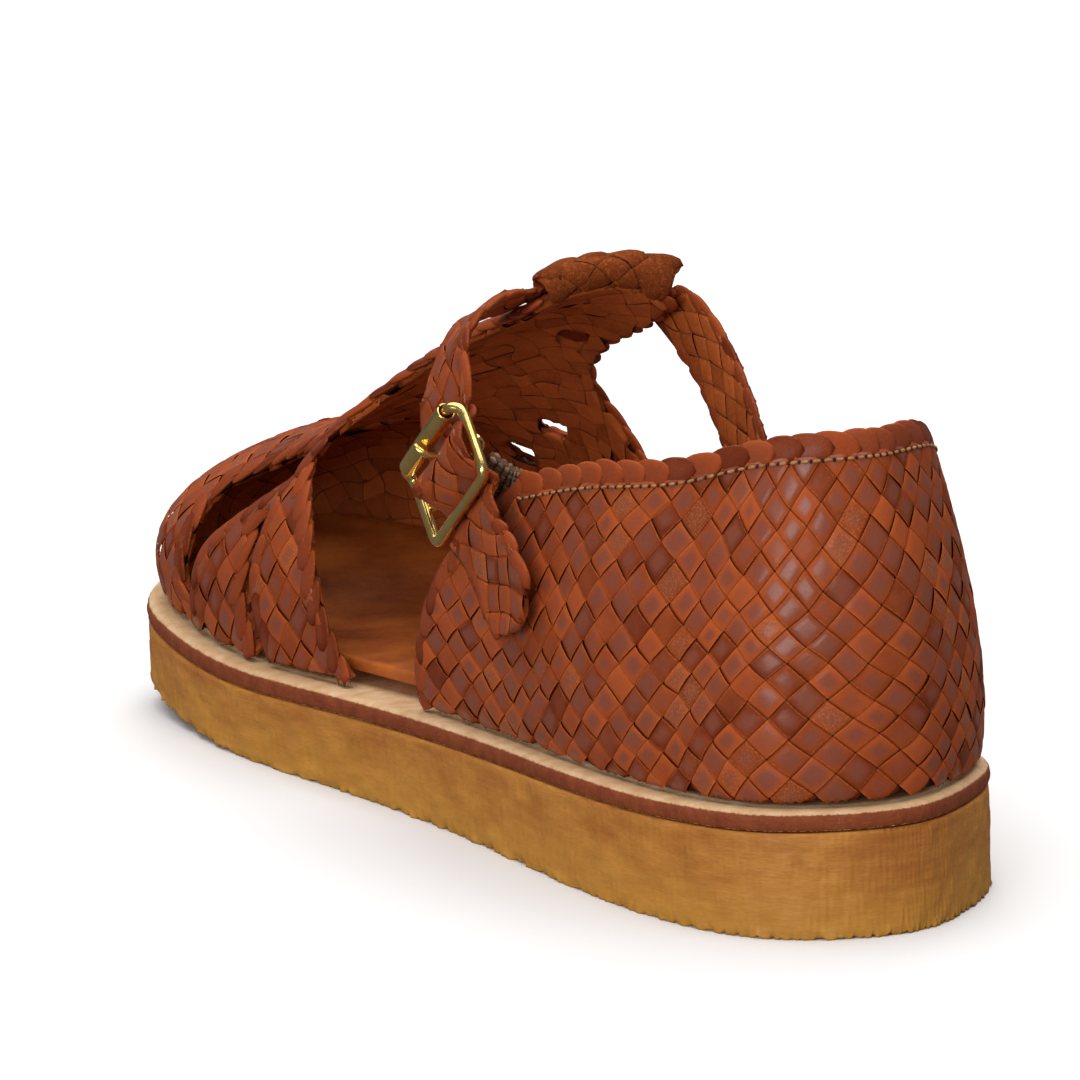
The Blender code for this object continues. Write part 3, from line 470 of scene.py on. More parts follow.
# Woven tiles: each crossing of a plain weave shows one strip. Along the strip its height is a flat-topped
# cosine, so that it dives under its neighbours; across it falls at both cut edges. Random tilts and
# widths make every tile its own.
def wovenTiles(panel, weave, side=1):
    field = panel["field"]
    bends = weave["wander"], weave.get("drift", 0.0), weave.get("widened")
    i, j, centre, e1, e2 = crossings(field, weave, bends)
    over = ((i + j) % 2 == 0)[:, None]
    alongStrip, acrossStrip = np.where(over, e1, e2), np.where(over, e2, -e1)
    strip = np.where(over[:, 0], j * 2, i * 2 + 1)

    def random(first, second=0, seed=0):
        return scatter(first, second, seed)[:, None, None]

    a = np.linspace(-1, 1, weave["lengthPoints"])[:, None]
    a = weave["reach"] * np.sign(a) * (1 - (1 - np.abs(a)) ** 1.35)
    b = np.linspace(-1, 1, weave["widthPoints"])[None, :]
    b = 0.5 * weave["fill"] * np.sign(b) * (1 - (1 - np.abs(b)) ** 1.5)
    alongShare = (a + 0 * b)[None]
    acrossShare = (b + 0 * a)[None] * (1 - 0.05 * random(i, j, 5)) + 0.03 * (random(strip, 0, 3) - 0.5)
    pattern = (
        centre[:, None, None] + alongShare[..., None] * alongStrip[:, None, None]
        + acrossShare[..., None] * acrossStrip[:, None, None]
    )
    half = np.abs(b) / (0.5 * weave["fill"])
    dive = np.tanh(2.8 * np.cos(np.pi * a)) / np.tanh(2.8)
    edgeFall = weave["crown"] * half**2 + weave["edgeDrop"] * smoothStep((half - 0.72) / 0.28)
    tilt = (random(i, j, 7) - 0.5) * a + (random(i, j, 11) - 0.5) * b + 0.3 * (random(strip, 1, 2) - 0.5)
    height = (weave["rise"] * dive - edgeFall)[None] + weave["tilt"] * tilt
    pattern, lack = pulledInside(field, wandered(pattern, *bends), weave["keep"])
    lift = weave["lift"] + height - 0.9 * np.minimum(lack, 1.2)
    if side < 0:
        lift = -shoe["wall"] * weave["inner"] - lift
    faces = gridFaces(len(a), b.shape[1])
    ones, width = np.ones_like(height), np.linalg.norm(e1)
    u = a * width + 60 * random(strip, 4) + (np.where(over[:, 0], i, j) * width)[:, None, None]
    uv = np.stack([u * ones, (b * width + 60 * random(strip, 9)) * ones], axis=-1)
    tone = 0.55 * random(strip, 2, 1) + 0.45 * random(i, j, 6)
    # The look's third part, the share to an end, sets the painted shade where the tile dives under its
    # neighbours.
    look = np.stack([tone * ones, half * ones, 2 * np.abs(a) * ones], axis=-1)
    return {
        "points": lifted(panel["surface"], pattern, lift).reshape(-1, 3),
        "faces": manyGrids(len(i), faces[:, ::-1] if side > 0 else faces, a.size * b.size),
        "uv": uv.reshape(-1, 2), "look": look.reshape(-1, 3),
    }


# Pillows: flattened ellipsoids in a row along a pattern line, each turned by slant and tipped so that
# it overlaps the next. They are folded strip ends along an edge, stitches, or loops of yarn.
def pillows(panel, centre, along, inwards, size, seed=0):
    count = len(centre)
    number = np.arange(count)
    p = np.linspace(-1, 1, size.get("rings", 9))
    turn = np.linspace(0, 2 * np.pi, size.get("sides", 12), endpoint=False)
    swollen = np.sqrt(np.maximum(1 - np.abs(p) ** size.get("bluntness", 2.4), 0))
    grow = 1 + size.get("vary", 0.12) * (scatter(number, 1, seed) - 0.5)
    u = p[None, :, None] * grow[:, None, None] * size["length"] / 2 + 0 * turn
    v = swollen[None, :, None] * np.cos(turn) * size["halfWidth"] * grow[:, None, None]
    tipped = size.get("tip", 0) * p[None, :, None] + 0 * u
    w = swollen[None, :, None] * np.sin(turn) * size["halfThick"] + tipped
    slant = size.get("slant", 0.0) + 0.15 * (scatter(number, 2, seed) - 0.5)[:, None, None]
    uTurned, vTurned = u * np.cos(slant) - v * np.sin(slant), u * np.sin(slant) + v * np.cos(slant)
    pattern = (
        centre[:, None, None] + uTurned[..., None] * along[:, None, None]
        + (vTurned + size.get("inset", 0))[..., None] * inwards[:, None, None]
    )
    points = lifted(panel["surface"], pattern, w + size["lift"])
    rings, sides = len(p), len(turn)
    ones = np.ones_like(w)
    uv = np.stack([u * ones + 9 * number[:, None, None], v * ones + 5 * np.sin(turn)], axis=-1)
    edge = np.abs(np.cos(turn))[None, None]
    tone = scatter(number, 3, seed)[:, None, None]
    # The look's third part, the share to an end, sets painted shade at the pillow's ends in the woven
    # materials.
    look = np.stack([tone * ones, edge * ones, 0.95 * np.abs(p)[None, :, None] * ones], axis=-1)
    faces = manyGrids(count, gridFaces(rings, sides, closeColumns=True), rings * sides)
    return {
        "points": points.reshape(-1, 3), "faces": faces,
        "uv": uv.reshape(-1, 2), "look": look.reshape(-1, 3),
    }


# Row of pillows at even distances along a pattern line, their inner sides turned away from the edge.
def pillowRow(panel, line, size, closed=False, seed=0):
    if closed:
        line = np.vstack([line, line[:1]])
    chord = walked(line)
    count = max(1, int(round(chord[-1] / size["spacing"])))
    at = (np.arange(count) + 0.5) * chord[-1] / count
    place, before, after = [
        np.column_stack([np.interp(at + shift, chord, line[:, k]) for k in (0, 1)])
        for shift in (0, -0.5, 0.5)
    ]
    ahead = unit(after - before)
    across = np.column_stack([-ahead[:, 1], ahead[:, 0]])
    facing = np.sign((across * edgeInwards(panel["field"], place)).sum(axis=1, keepdims=True))
    return pillows(panel, place, ahead, across * np.where(facing == 0, 1, facing), size, seed)


# Both sides of a panel as one closed wall: grid points near the edge are moved onto it, and quads join
# the two sides along every outer edge of the grid.
def panelWall(panel, outerLift, innerLift, step=1.6, trim=0.5):
    field = panel["field"]
    low = field["low"] + 4
    count = ((field["step"] * np.array(field["distance"].shape[::-1]) - 8) / step).astype(int)
    x, y = np.meshgrid(*[low[k] + step * np.arange(count[k]) for k in (0, 1)])
    pattern = np.stack([x, y], axis=-1).reshape(-1, 2)
    faces = gridFaces(count[1], count[0])
    faces = faces[(edgeDistance(field, pattern)[faces] > trim - 0.62 * step).all(axis=1)]
    used, faces = np.unique(faces, return_inverse=True)
    faces, total = faces.reshape(-1, 4), len(used)
    pattern, _ = pulledInside(field, pattern[used], trim)
    sides = [lifted(panel["surface"], pattern, np.full(total, lift)) for lift in (outerLift, innerLift)]
    edges = np.stack([faces, np.roll(faces, -1, axis=1)], axis=-1).reshape(-1, 2)
    code, back = edges[:, 0] * total + edges[:, 1], edges[:, 1] * total + edges[:, 0]
    rim = edges[~np.isin(code, back)]
    joining = np.column_stack([rim[:, 1], rim[:, 0], rim[:, 0] + total, rim[:, 1] + total])
    look = np.zeros((2 * total, 3))
    look[total:, 2] = 1
    return {
        "points": np.vstack(sides), "faces": np.vstack([faces, faces[:, ::-1] + total, joining]),
        "uv": np.vstack([pattern, pattern]), "look": look,
    }


# Mesh object from parts in millimetres, joined in one and placed in metres. Closed parts have their
# doubles merged and their normals recalculated.
def addPiece(name, parts, material, node="upper", closed=True):
    parts = parts if isinstance(parts, list) else [parts]
    offsets = np.cumsum([0] + [len(part["points"]) for part in parts])
    points = np.vstack([part["points"] for part in parts])
    faces = np.vstack([part["faces"] + offset for part, offset in zip(parts, offsets)])
    uv = np.vstack([part["uv"] for part in parts])
    look = np.vstack([part.get("look", np.zeros_like(part["points"])) for part in parts])
    metres = (points - [0, shoe["length"] / 2, 0]) * 0.001
    mesh = bpy.data.meshes.new(name)
    mesh.vertices.add(len(points))
    mesh.vertices.foreach_set("co", metres.astype(np.float32).ravel())
    mesh.loops.add(faces.size)
    mesh.loops.foreach_set("vertex_index", faces.ravel().astype(np.int32))
    mesh.polygons.add(len(faces))
    mesh.polygons.foreach_set("loop_start", np.arange(0, faces.size, 4, dtype=np.int32))
    mesh.update(calc_edges=True)
    mesh.uv_layers.new(name="UVMap").data.foreach_set("uv", uv[faces.ravel()].astype(np.float32).ravel())
    attribute = mesh.attributes.new("look", "FLOAT_VECTOR", "POINT")
    attribute.data.foreach_set("vector", look.astype(np.float32).ravel())
    if closed:
        work = bmesh.new()
        work.from_mesh(mesh)
        bmesh.ops.remove_doubles(work, verts=work.verts, dist=2e-6)
        bmesh.ops.recalc_face_normals(work, faces=work.faces)
        work.to_mesh(mesh)
        work.free()
    mesh.shade_smooth()
    mesh.materials.append(material)
    piece = bpy.data.objects.new(name, mesh)
    bpy.context.scene.collection.objects.link(piece)
    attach(piece, "root")
    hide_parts(node)
    print("made", name, len(mesh.polygons), "faces")


# Outline of the quarters' pattern, from below the top edge: front edges left and right from the spline
# of reach over height, the top and the foot.
def quarterLoops(below=0.0):
    share = np.linspace(0, 1, 40)
    foot = ledge(quarter["frontY"])
    height = foot + share * (quarter["frontTop"] - foot)
    angle = outlineAngle(spline(quarter["frontEdge"]["height"], quarter["frontEdge"]["reach"], height))
    sides = []
    for turned in (-angle, angle):
        arc = np.interp(turned, quarterAngles, quarterArc)
        line = np.column_stack([arc, (share - 1) * quarterTall(arc)])
        sides.append(line[line[:, 1] < -below])
    left, right = sides
    top = np.linspace(left[-1, 0], right[-1, 0], 120)[1:-1]
    bottom = np.linspace(right[0, 0], left[0, 0], 160)[1:-1]
    topLine = np.column_stack([top, 0 * top - below])
    footLine = np.column_stack([bottom, -quarterTall(bottom)])
    return left, right, np.vstack([left, topLine, right[::-1], footLine])


quarterLeft, quarterRight, quarterRim = quarterLoops()
quarterPanel = {"surface": quarterSurface, "field": edgeField([quarterRim])}
quarterBelowStitch = {"surface": quarterSurface, "field": edgeField([quarterLoops(2.6)[2]])}
quarterBelowEdge = {"surface": quarterSurface, "field": edgeField([quarterLoops(1.7)[2]])}
quarterWeave = {
    "first": (3.35, 3.35), "second": (-3.35, 3.35), "origin": np.array([0.4, -4.2]), "margin": -0.6,
    "reach": 0.66, "fill": 0.97, "lengthPoints": 9, "widthPoints": 7,
    "rise": 0.3, "crown": -0.05, "edgeDrop": 0.15, "tilt": 0.34, "lift": -0.1, "keep": 0.5,
    "wander": 0.22, "drift": 0.9, "widened": -40.0,
}
naturalGaps = [           # middle, half sizes and turn of the braid's own gaps
    ((12.0, 155.5), (3.0, 4.8), 0.2), ((28.0, 197.5), (3.6, 4.2), 0.2),
    ((30.5, 218.0), (3.8, 4.0), 0.2), ((-1.0, 131.5), (2.2, 0.6), 0.2),
]


# Gap between crossing strips: a small diamond at a pattern point, with half sizes and a turn.
def gapLoop(middle, half, turn):
    corner = np.array([
        (1, 0), (0.5, 0.5), (0, 1), (-0.5, 0.5), (-1, 0), (-0.5, -0.5), (0, -1), (0.5, -0.5),
    ]) * half
    turned = np.array([[np.cos(turn), np.sin(turn)], [-np.sin(turn), np.cos(turn)]])
    return np.array(middle) + corner @ turned


vampRims = vampLoops() + [gapLoop(*gap) for gap in naturalGaps]
vampPanel = {"surface": vampSurface, "field": edgeField(vampRims)}
vampWeave = dict(
    quarterWeave, first=(4.0, 4.0), second=(-4.0, 4.0), origin=np.array([0.0, 121.5]),
    margin=-0.3, keep=0.8, wander=0.25, drift=0.5, widened=None,
)
vampInside = dict(vampWeave, lift=0.1, rise=0.1, edgeDrop=0.07, tilt=0.3, inner=0.8, wander=0.9)
vampShadeWall = {"outerLift": -0.9, "innerLift": -1.7, "trim": 1.5}
edgeScallop = {
    "spacing": 6.9, "length": 13.5, "halfWidth": 2.5, "halfThick": 0.62, "inset": 1.7,
    "slant": 0.10, "tip": 0.55, "lift": -0.55, "bluntness": 2.4,
}
bandScallop = dict(
    edgeScallop, spacing=6.0, length=10.5, halfWidth=2.2, halfThick=0.8, inset=1.9, slant=0.2, lift=-0.5,
)
topStitch = {
    "spacing": 2.6, "length": 1.9, "halfWidth": 0.28, "halfThick": 0.26, "lift": 0.34,
    "sides": 8, "rings": 7, "vary": 0.15, "bluntness": 3,
}
# Dark flat pillows between the stitches: painted shade of the stitch holes.
stitchHoleShade = dict(topStitch, length=0.75, halfWidth=0.36, halfThick=0.12, lift=0.3, rings=5)
print("patterns ready")

fold = {                  # leather turned over the strap
    "rows": table(        # forward of the T-bar's top, and height
        "forward height",
        (5.0, -1.3), (0.5, -1.2), (-1.5, -0.5), (-2.5, 1.5), (-1.6, 3.6), (0.4, 4.4),
        (6.0, 4.5), (12.7, 4.5), (15.9, 3.4), (18.2, 1.4), (20.5, -0.8),
    ),
    "lateralEnd": -12.0, "medialEnd": 13.0,
    "point": 3.6, "sag": 0.9, "slant": 0.45,  # rise of its end, dip of its middle, slant of its edge
    "ridgeY": 13.2,                           # row of the folded strips on top
    "wall": {"outerLift": 0.25, "innerLift": -0.9, "step": 1.2},
}
foldChord = walked(np.column_stack([fold["rows"]["forward"], fold["rows"]["height"]]))
foldWeave = dict(
    vampWeave, first=(3.4, 3.2), second=(-3.4, 3.2), origin=np.array([0.7, 2.0]),
    margin=-0.6, lift=0.55, rise=0.3,
)
foldScallop = dict(bandScallop, lift=0.2, inset=1.6)
ridgeScallop = dict(
    bandScallop, spacing=6.2, length=9.0, halfWidth=3.2, halfThick=1.5,
    inset=0.0, slant=0.5, tip=0.5, lift=-0.1,
)


# Point of the vamp with the direction along it and its normal, the cross product of its slopes.
def patternFrame(x, y):
    x, y = np.broadcast_arrays(np.asarray(x, float), np.asarray(y, float))

    def at(dx, dy):
        return vampSurface(np.stack([x + dx, y + dy], axis=-1))

    along = unit(at(0, 0.5) - at(0, -0.5))
    return at(0, 0), along, unit(np.cross(at(0.5, 0) - at(-0.5, 0), along))


# Point of the fold: splines of forward and height round its profile, set on the vamp's frames. Its top
# rises as the square of the distance from the middle, to a point at the medial end, and it slants there.
def foldSurface(pattern):
    forward = spline(foldChord, fold["rows"]["forward"], pattern[..., 1])
    height = spline(foldChord, fold["rows"]["height"], pattern[..., 1])
    rise = fold["point"] * np.clip(pattern[..., 0] / 15, 0, 1.2) ** 2 - fold["sag"]
    height = height + smoothStep((height - 0.5) / 3) * rise
    slanted = np.clip(forward, 0, 16) * np.clip((15.4 - pattern[..., 0]) / 29.4, 0, 1)
    x = pattern[..., 0] + fold["slant"] * slanted
    base, _, normal = patternFrame(x, tTop + np.maximum(forward, 0))
    _, along, _ = patternFrame(x, tTop + 0 * x)
    return base + normal * height[..., None] + along * np.minimum(forward, 0)[..., None]


# Points round a rectangle, a millimetre apart.
def rectangle(low, high):
    (x0, y0), (x1, y1) = low, high
    x, y = np.arange(x0, x1), np.arange(y0, y1)
    return np.vstack([
        np.column_stack([x, y0 + 0 * x]), np.column_stack([x1 + 0 * y, y]),
        np.column_stack([x[::-1] + 1, y1 + 0 * x]), np.column_stack([x0 + 0 * y, y[::-1] + 1]),
    ])


foldRim = rectangle((fold["lateralEnd"], 0.5), (fold["medialEnd"], foldChord[-1] - 0.3))
foldPanel = {"surface": foldSurface, "field": edgeField([foldRim])}

strap = {                 # middle line in three stretches: below the buckle, up to the fold, down inside
    "tip": table(
        "x y z", (-35.0, 77.3, 42.0), (-34.7, 80.3, 46.2), (-34.3, 86.3, 51.0), (-34.2, 91.9, 55.5),
    ),
    "rise": table(
        "x y z lean pitch",
        (-33.8, 108.6, 80.4, -0.06, 24), (-32.0, 111.5, 85.8, 0.02, 27),
        (-27.4, 115.4, 90.9, -0.04, 30), (-21.0, 119.8, 93.8, -0.20, 28),
    ),
    "fall": table(
        "x y z",
        (21.1, 121.1, 87.4), (22.6, 113.5, 81.4), (22.7, 107.3, 75.4),
        (22.3, 100.3, 68.0), (21.7, 95.0, 61.5), (22.4, 89.5, 54.5),
    ),
    "width": 20.0, "narrow": 16.0, "narrowing": (58, 76), "thick": 2.2,
    "pitch": 34.0,                            # slope of the direction across it, in degrees
    "under": (-1.2, -0.3), "over": 4.3,       # below the buckle's bars and above its centre bar
    "slip": (-0.9, -3.7),                     # off the middle across, at the bars and between them
    "weaving": (9.6, -8.0),                   # stretch along the buckle's own direction
    "bulge": 0.3, "spread": 0.06, "bulgeReach": 5.5,
    "foldMiddle": 6.6, "foldGap": 0.65,       # forward of the T-bar's top, and clear above it
    "inside": {"lift": 0.6, "rise": 0.3},     # weave of its inner face
    "core": {"outerLift": 0.45, "innerLift": -0.45, "step": 1.2, "trim": 1.3},
}
buckle = {
    "middle": np.array([-34.3, 103.8, 67.8]), "width": 27.4, "length": 14.6, "corner": 1.7, "wire": 1.0,
    "frontRise": 3.6, "barRise": 1.4, "centreSink": 1.4, "centreWire": 0.95, "railRise": 1.6,
    "roller": 1.8, "rollerBore": 1.33, "rollerLength": 22.0,
    "rollerSeam": (0.35, 0.1, 2.3),           # its two sides and where it lies, in radians
    "rollerLip": 0.12,
    "rollerEnds": ((-0.5, 0.16), (-0.492, 0.05), (-0.48, 0), (0.48, 0), (0.492, 0.05), (0.5, 0.16)),
    "prong": 0.75, "tones": ((246, 206, 116), (253, 222, 146)),
    "prongWay": np.array([                    # along the strap and outwards
        (-2.1, -2.2), (-2.4, -0.8), (-3.1, 1.2), (-3.9, 3.2), (-4.6, 4.6), (-5.3, 5.7), (-6.4, 6.2),
    ]),
}
elastic = {
    "way": np.array([
        (-30.1, 102.8, 68.4), (-28.7, 101.6, 67.0), (-25.8, 99.2, 64.4),
        (-24.0, 95.2, 62.6), (-23.5, 89.5, 60.8), (-23.9, 83.0, 59.0),
    ]),
    "halfWidth": 6.25, "band": {"outerLift": 0.5, "innerLift": -0.5, "step": 1.0, "trim": 0.3},
    "yarnPitch": 1.15, "yarnLift": 0.55, "tones": ((96, 70, 52), (168, 142, 116)), "speck": (84, 56, 40),
}
yarnLoop = {
    "spacing": 1.5, "length": 1.7, "halfWidth": 0.55, "halfThick": 0.5, "sides": 8, "rings": 5, "vary": 0.3,
}
outwards = np.array([-1.0, 0, 0])
alongStrap, acrossStrap = np.array([0, -0.6, -0.8]), np.array([0, 0.8, -0.6])


# Point in the buckle's own directions: its middle plus so much along the strap, across it and outwards.
def bucklePoint(along, across, out):
    return (
        buckle["middle"] + np.multiply.outer(along, alongStrap) + np.multiply.outer(across, acrossStrap)
        + np.multiply.outer(out, outwards)
    )


# Middle line of the strap and the direction across it. At the buckle it goes up and down as a cosine,
# under the rear bar, over the centre bar and under the roller; at the fold it follows the vamp.
def strapLine():
    wave = np.linspace(*strap["weaving"], 11)
    half = buckle["length"] / 2
    swell = 0.5 + 0.5 * np.cos(np.pi * wave / half)
    low = np.interp(wave, [-half, half], strap["under"][::-1])
    slipped = strap["slip"][0] + (strap["slip"][1] - strap["slip"][0]) * swell
    weave = bucklePoint(wave, slipped, low + (strap["over"] - low) * swell)
    base, along, normal = patternFrame([-14.0, -7.0, 0.0, 8.0, 16.5], tTop + strap["foldMiddle"])
    rows = []
    for part in (strap["tip"], strap["rise"], strap["fall"]):
        lean = part.get("lean", 0 * part["x"])
        pitch = np.radians(part.get("pitch", 0 * part["x"] + strap["pitch"]))
        columns = [part["x"], part["y"], part["z"], lean, np.cos(pitch), -np.sin(pitch)]
        rows.append(np.column_stack(columns))
    pitch = np.radians(strap["pitch"])
    weave = np.column_stack([weave, np.tile([0.0, np.cos(pitch), -np.sin(pitch)], (len(wave), 1))])
    tunnel = np.column_stack([base + normal * (strap["thick"] / 2 + strap["foldGap"]), along])
    return resampled(np.vstack([rows[0], weave, rows[1], tunnel, rows[2]]), 2.3)


# Ribbon surface: pattern x runs along the middle line, a spline, and y along the direction across it,
# squared up to the line.
def ribbonSurface(way, across):
    chord = walked(way)

    def along(rows, at):
        return np.stack([spline(chord, column, at) for column in rows.T], axis=-1)

    def surface(pattern):
        at = pattern[..., 0]
        ahead = unit(along(way, at + 0.4) - along(way, at - 0.4))
        side = along(across, at)
        side = unit(side - (ahead * side).sum(axis=-1, keepdims=True) * ahead)
        return along(way, at) + side * pattern[..., 1:]

    return surface


strapWay = strapLine()
strapRibbon = ribbonSurface(strapWay[:, :3], strapWay[:, 3:])
strapChord = walked(strapWay[:, :3])
strapHalf, strapEnd = strap["width"] / 2, strapChord[-1] - 0.5
strapOverBar = bucklePoint(0.0, strap["slip"][1], strap["over"])
strapMiddle = strapChord[np.argmin(np.linalg.norm(strapWay[:, :3] - strapOverBar, axis=1))]


# Strap: a ribbon that narrows smoothly. Between the buckle's bars it spreads and bulges by
# exp(-(distance / reach)^2.5), less towards its edges.
def strapSurface(pattern):
    at, across = pattern[..., 0], pattern[..., 1]
    bump = np.exp(-(np.abs(at - strapMiddle) / strap["bulgeReach"]) ** 2.5)
    start, end = strap["narrowing"]
    narrow = 1 - (1 - strap["narrow"] / strap["width"]) * smoothStep((at - start) / (end - start))
    swell = strap["bulge"] * bump * (1 - 0.5 * (across / strapHalf) ** 2)
    wide = across * (1 + strap["spread"] * bump) * narrow
    return strapRibbon(np.stack([at, wide], axis=-1)) + outwards * swell[..., None]


tipTurn = np.linspace(-np.pi / 2, np.pi / 2, 24)
strapSide = np.arange(strapHalf, strapEnd, 1.0)
strapRim = np.vstack([
    np.column_stack([strapSide, strapHalf + 0 * strapSide]),
    np.column_stack([strapEnd + 0 * tipTurn, strapHalf * np.linspace(1, -1, 24)]),
    np.column_stack([strapSide[::-1], -strapHalf + 0 * strapSide]),
    np.column_stack([strapHalf - strapHalf * 0.9 * np.cos(tipTurn), strapHalf * np.sin(tipTurn)]),
])
strapPanel = {"surface": strapSurface, "field": edgeField([strapRim])}
strapBack = {
    "surface": lambda pattern: strapSurface(pattern * [1, -1]), "field": edgeField([strapRim * [1, -1]]),
}
strapWeave = {
    "first": (3.7, 3.35), "second": (-3.7, 3.35), "origin": np.array([1.0, 0.0]), "margin": -0.4,
    "reach": 0.62, "fill": 0.95, "lengthPoints": 9, "widthPoints": 7,
    "rise": 0.26, "crown": 0.05, "edgeDrop": 0.16, "tilt": 0.4, "lift": 0.62, "keep": 0.9, "wander": 0.12,
}
strapScallop = dict(
    edgeScallop, spacing=5.6, length=7.8, halfWidth=1.9, halfThick=0.9,
    inset=1.8, lift=0.0, tip=0.25, slant=0.25,
)


# Rings round the sole, one above the other, joined in a wall: each is the outline moved inwards by a
# function of the angle, at a height that is a function of the place and the angle.
def ringGrid(insets, heights, count):
    angle = np.linspace(-np.pi, np.pi, 2 * count, endpoint=False)
    rows = []
    for inset, height in zip(insets, heights):
        flat = outline(angle, inset(angle) + 0 * angle)
        rows.append(np.column_stack([flat, height(flat[:, 1], angle)]))
    points = np.vstack(rows)
    return {
        "points": points, "faces": gridFaces(len(rows), 2 * count, closeColumns=True),
        "uv": np.column_stack([np.tile(angle, len(rows)), points[:, 2]]),
    }


# Lid over such a ring: lines from its lateral to its medial side, closer together near the edge.
def capGrid(inset, height, count, across=14):
    angle = np.linspace(0, np.pi, count + 1)
    share = (0.5 - 0.5 * np.cos(np.linspace(0, np.pi, across)))[None, :, None]
    lateral, medial = [outline(a, inset(a) + 0 * a) for a in (-angle, angle)]
    flat = lateral[:, None] * (1 - share) + medial[:, None] * share
    z = height(flat[..., 1], np.broadcast_to(angle[:, None], flat.shape[:2]))
    points = np.concatenate([flat, z[..., None]], axis=-1).reshape(-1, 3)
    return {"points": points, "faces": gridFaces(count + 1, across), "uv": points[:, :2]}


# Smooth noise round the sole: a sum of sines of the angle with scattered waves and phases.
def roundNoise(angle, low, high, seed, count=14):
    number = np.arange(count)
    wave = np.round(low + (high - low) * scatter(number, 1, seed))
    phase = 2 * np.pi * scatter(number, 2, seed)
    return np.sin(angle[..., None] * wave + phase).sum(axis=-1) / np.sqrt(count)


crepe = {
    "count": 800,                             # points round half of it
    "inset": 0.25, "bevel": 0.2, "border": 1.6,
    "waves": 0.12, "grain": 0.05,             # roughness of its walls
    "teeth": 0.25, "raised": 0.4,             # ragged lower edge
    "dark": (158, 91, 30), "light": (190, 126, 48), "streak": (210, 150, 68), "stain": (140, 74, 24),
    "low": (204, 150, 58),
}


# Crepe sole: upright walls between its bottom and top, rough by noise, with a toothed lower edge that
# is cut back and raised where the noise is high, and two lids.
def soleParts():
    count = crepe["count"]
    level = np.concatenate([[0, 0.02, 0.05, 0.09], np.linspace(0.14, 0.97, 15), [1.0]])

    def inset(share, row):
        low, high = np.clip(1 - share / 0.06, 0, 1), np.clip((share - 0.97) / 0.03, 0, 1)

        def at(angle):
            waves, grain = roundNoise(angle, 10, 90, row), roundNoise(angle, 150, 380, row + 40)
            teeth = crepe["teeth"] * low * (0.6 + roundNoise(angle, 30, 260, 7))
            rough = crepe["waves"] * waves + crepe["grain"] * grain
            return crepe["inset"] + rough + teeth + crepe["bevel"] * high
        return at

    def height(share):
        def at(y, angle):
            raised = np.clip(crepe["raised"] * (0.3 + roundNoise(angle, 30, 330, 3)), 0, 1.2)
            raised = raised * np.clip(1 - share / 0.12, 0, 1)
            return soleBottom(y) * (1 - share) + soleTop(y) * share + raised
        return at

    def underside(y, angle):
        return soleBottom(y)

    def border(angle):
        return crepe["border"]

    return [
        ringGrid([inset(s, r // 3) for r, s in enumerate(level)], [height(s) for s in level], count),
        ringGrid([inset(0, 0), border], [height(0), underside], count),
        capGrid(border, underside, count), capGrid(inset(1.0, 6), height(1.0), count),
    ]


midsole = {
    "count": 600, "inset": 0.1, "waves": 0.12,
    "edge": table(            # rows of its rounded edge, from below
        "inset share rough",
        (0.60, 0.00, 0.03), (0.28, 0.06, 0.07), (0.12, 0.16, 0.07), (0.04, 0.32, 0.06),
        (0.00, 0.50, 0.06), (0.05, 0.64, 0.06), (0.20, 0.77, 0.05), (0.50, 0.88, 0.04),
        (0.95, 0.95, 0.02), (1.60, 0.99, 0.00), (2.60, 1.00, 0.00), (9.00, 1.00, 0.00),
    ),
    "painted": ((126, 54, 21), (150, 72, 31)), "fibre": (110, 48, 20),
    "raw": ((206, 160, 112), (232, 200, 158)), "rawFibre": (172, 116, 70),
}


# Midsole: rows of a rounded edge by inset and height's share, rough by noise, and two lids. Its look
# holds how raw the leather is, and the height's share.
def midsoleParts():
    count = midsole["count"]
    inset, share, rough = [midsole["edge"][key] for key in ("inset", "share", "rough")]
    raw = smoothStep((share - 0.8) / 0.14)

    def row(k):
        def insetAt(angle):
            fine, broad = roundNoise(angle, 60, 260, 60 + k // 3), roundNoise(angle, 4, 22, 33) * (k < 9)
            return midsole["inset"] + inset[k] + rough[k] * fine + midsole["waves"] * broad

        def heightAt(y, angle):
            return (soleTop(y) + shoe["gap"]) * (1 - share[k]) + ledge(y) * share[k]

        return insetAt, heightAt

    rows = [row(k) for k in range(len(inset))]
    edge = ringGrid(*zip(*rows), count)
    rawness, up = np.repeat(raw, 2 * count), np.repeat(share, 2 * count)
    edge["look"] = np.column_stack([rawness, up, 0 * up])
    caps = [capGrid(*rows[-1], count), capGrid(*rows[0], count)]
    for part in caps:
        part["look"] = np.ones((len(part["points"]), 3)) * [1, 0, 0]
    return [edge] + caps


insole = {
    "count": 400, "seat": 2.6, "clear": 0.9, "plugInset": 14.1, "plugLift": 0.3,
    "edge": [(0.5, 0.0), (0.1, 0.25), (0.0, 0.6), (0.0, 1.8), (0.25, 2.3), (0.8, 2.5)],
}


# Insole: a rounded edge by inset and height, its top lid, and below it a plug down to the midsole.
def insoleParts():
    count, steps = insole["count"], insole["edge"]
    insets = [lambda a, d=d: ledgeWidth(a) + shoe["wall"] + insole["clear"] + d for d, _ in steps]
    heights = [lambda y, a, h=h: ledge(y) + insole["seat"] + h for _, h in steps]

    def plug(angle):
        return ledgeWidth(angle) + insole["plugInset"]

    def plugHeight(y, angle):
        return ledge(y) + insole["plugLift"]

    return [
        ringGrid(insets, heights, count), capGrid(insets[-1], heights[-1], count, across=24),
        ringGrid([plug, plug, insets[0]], [plugHeight, heights[0], heights[0]], count),
        capGrid(plug, plugHeight, count),
    ]


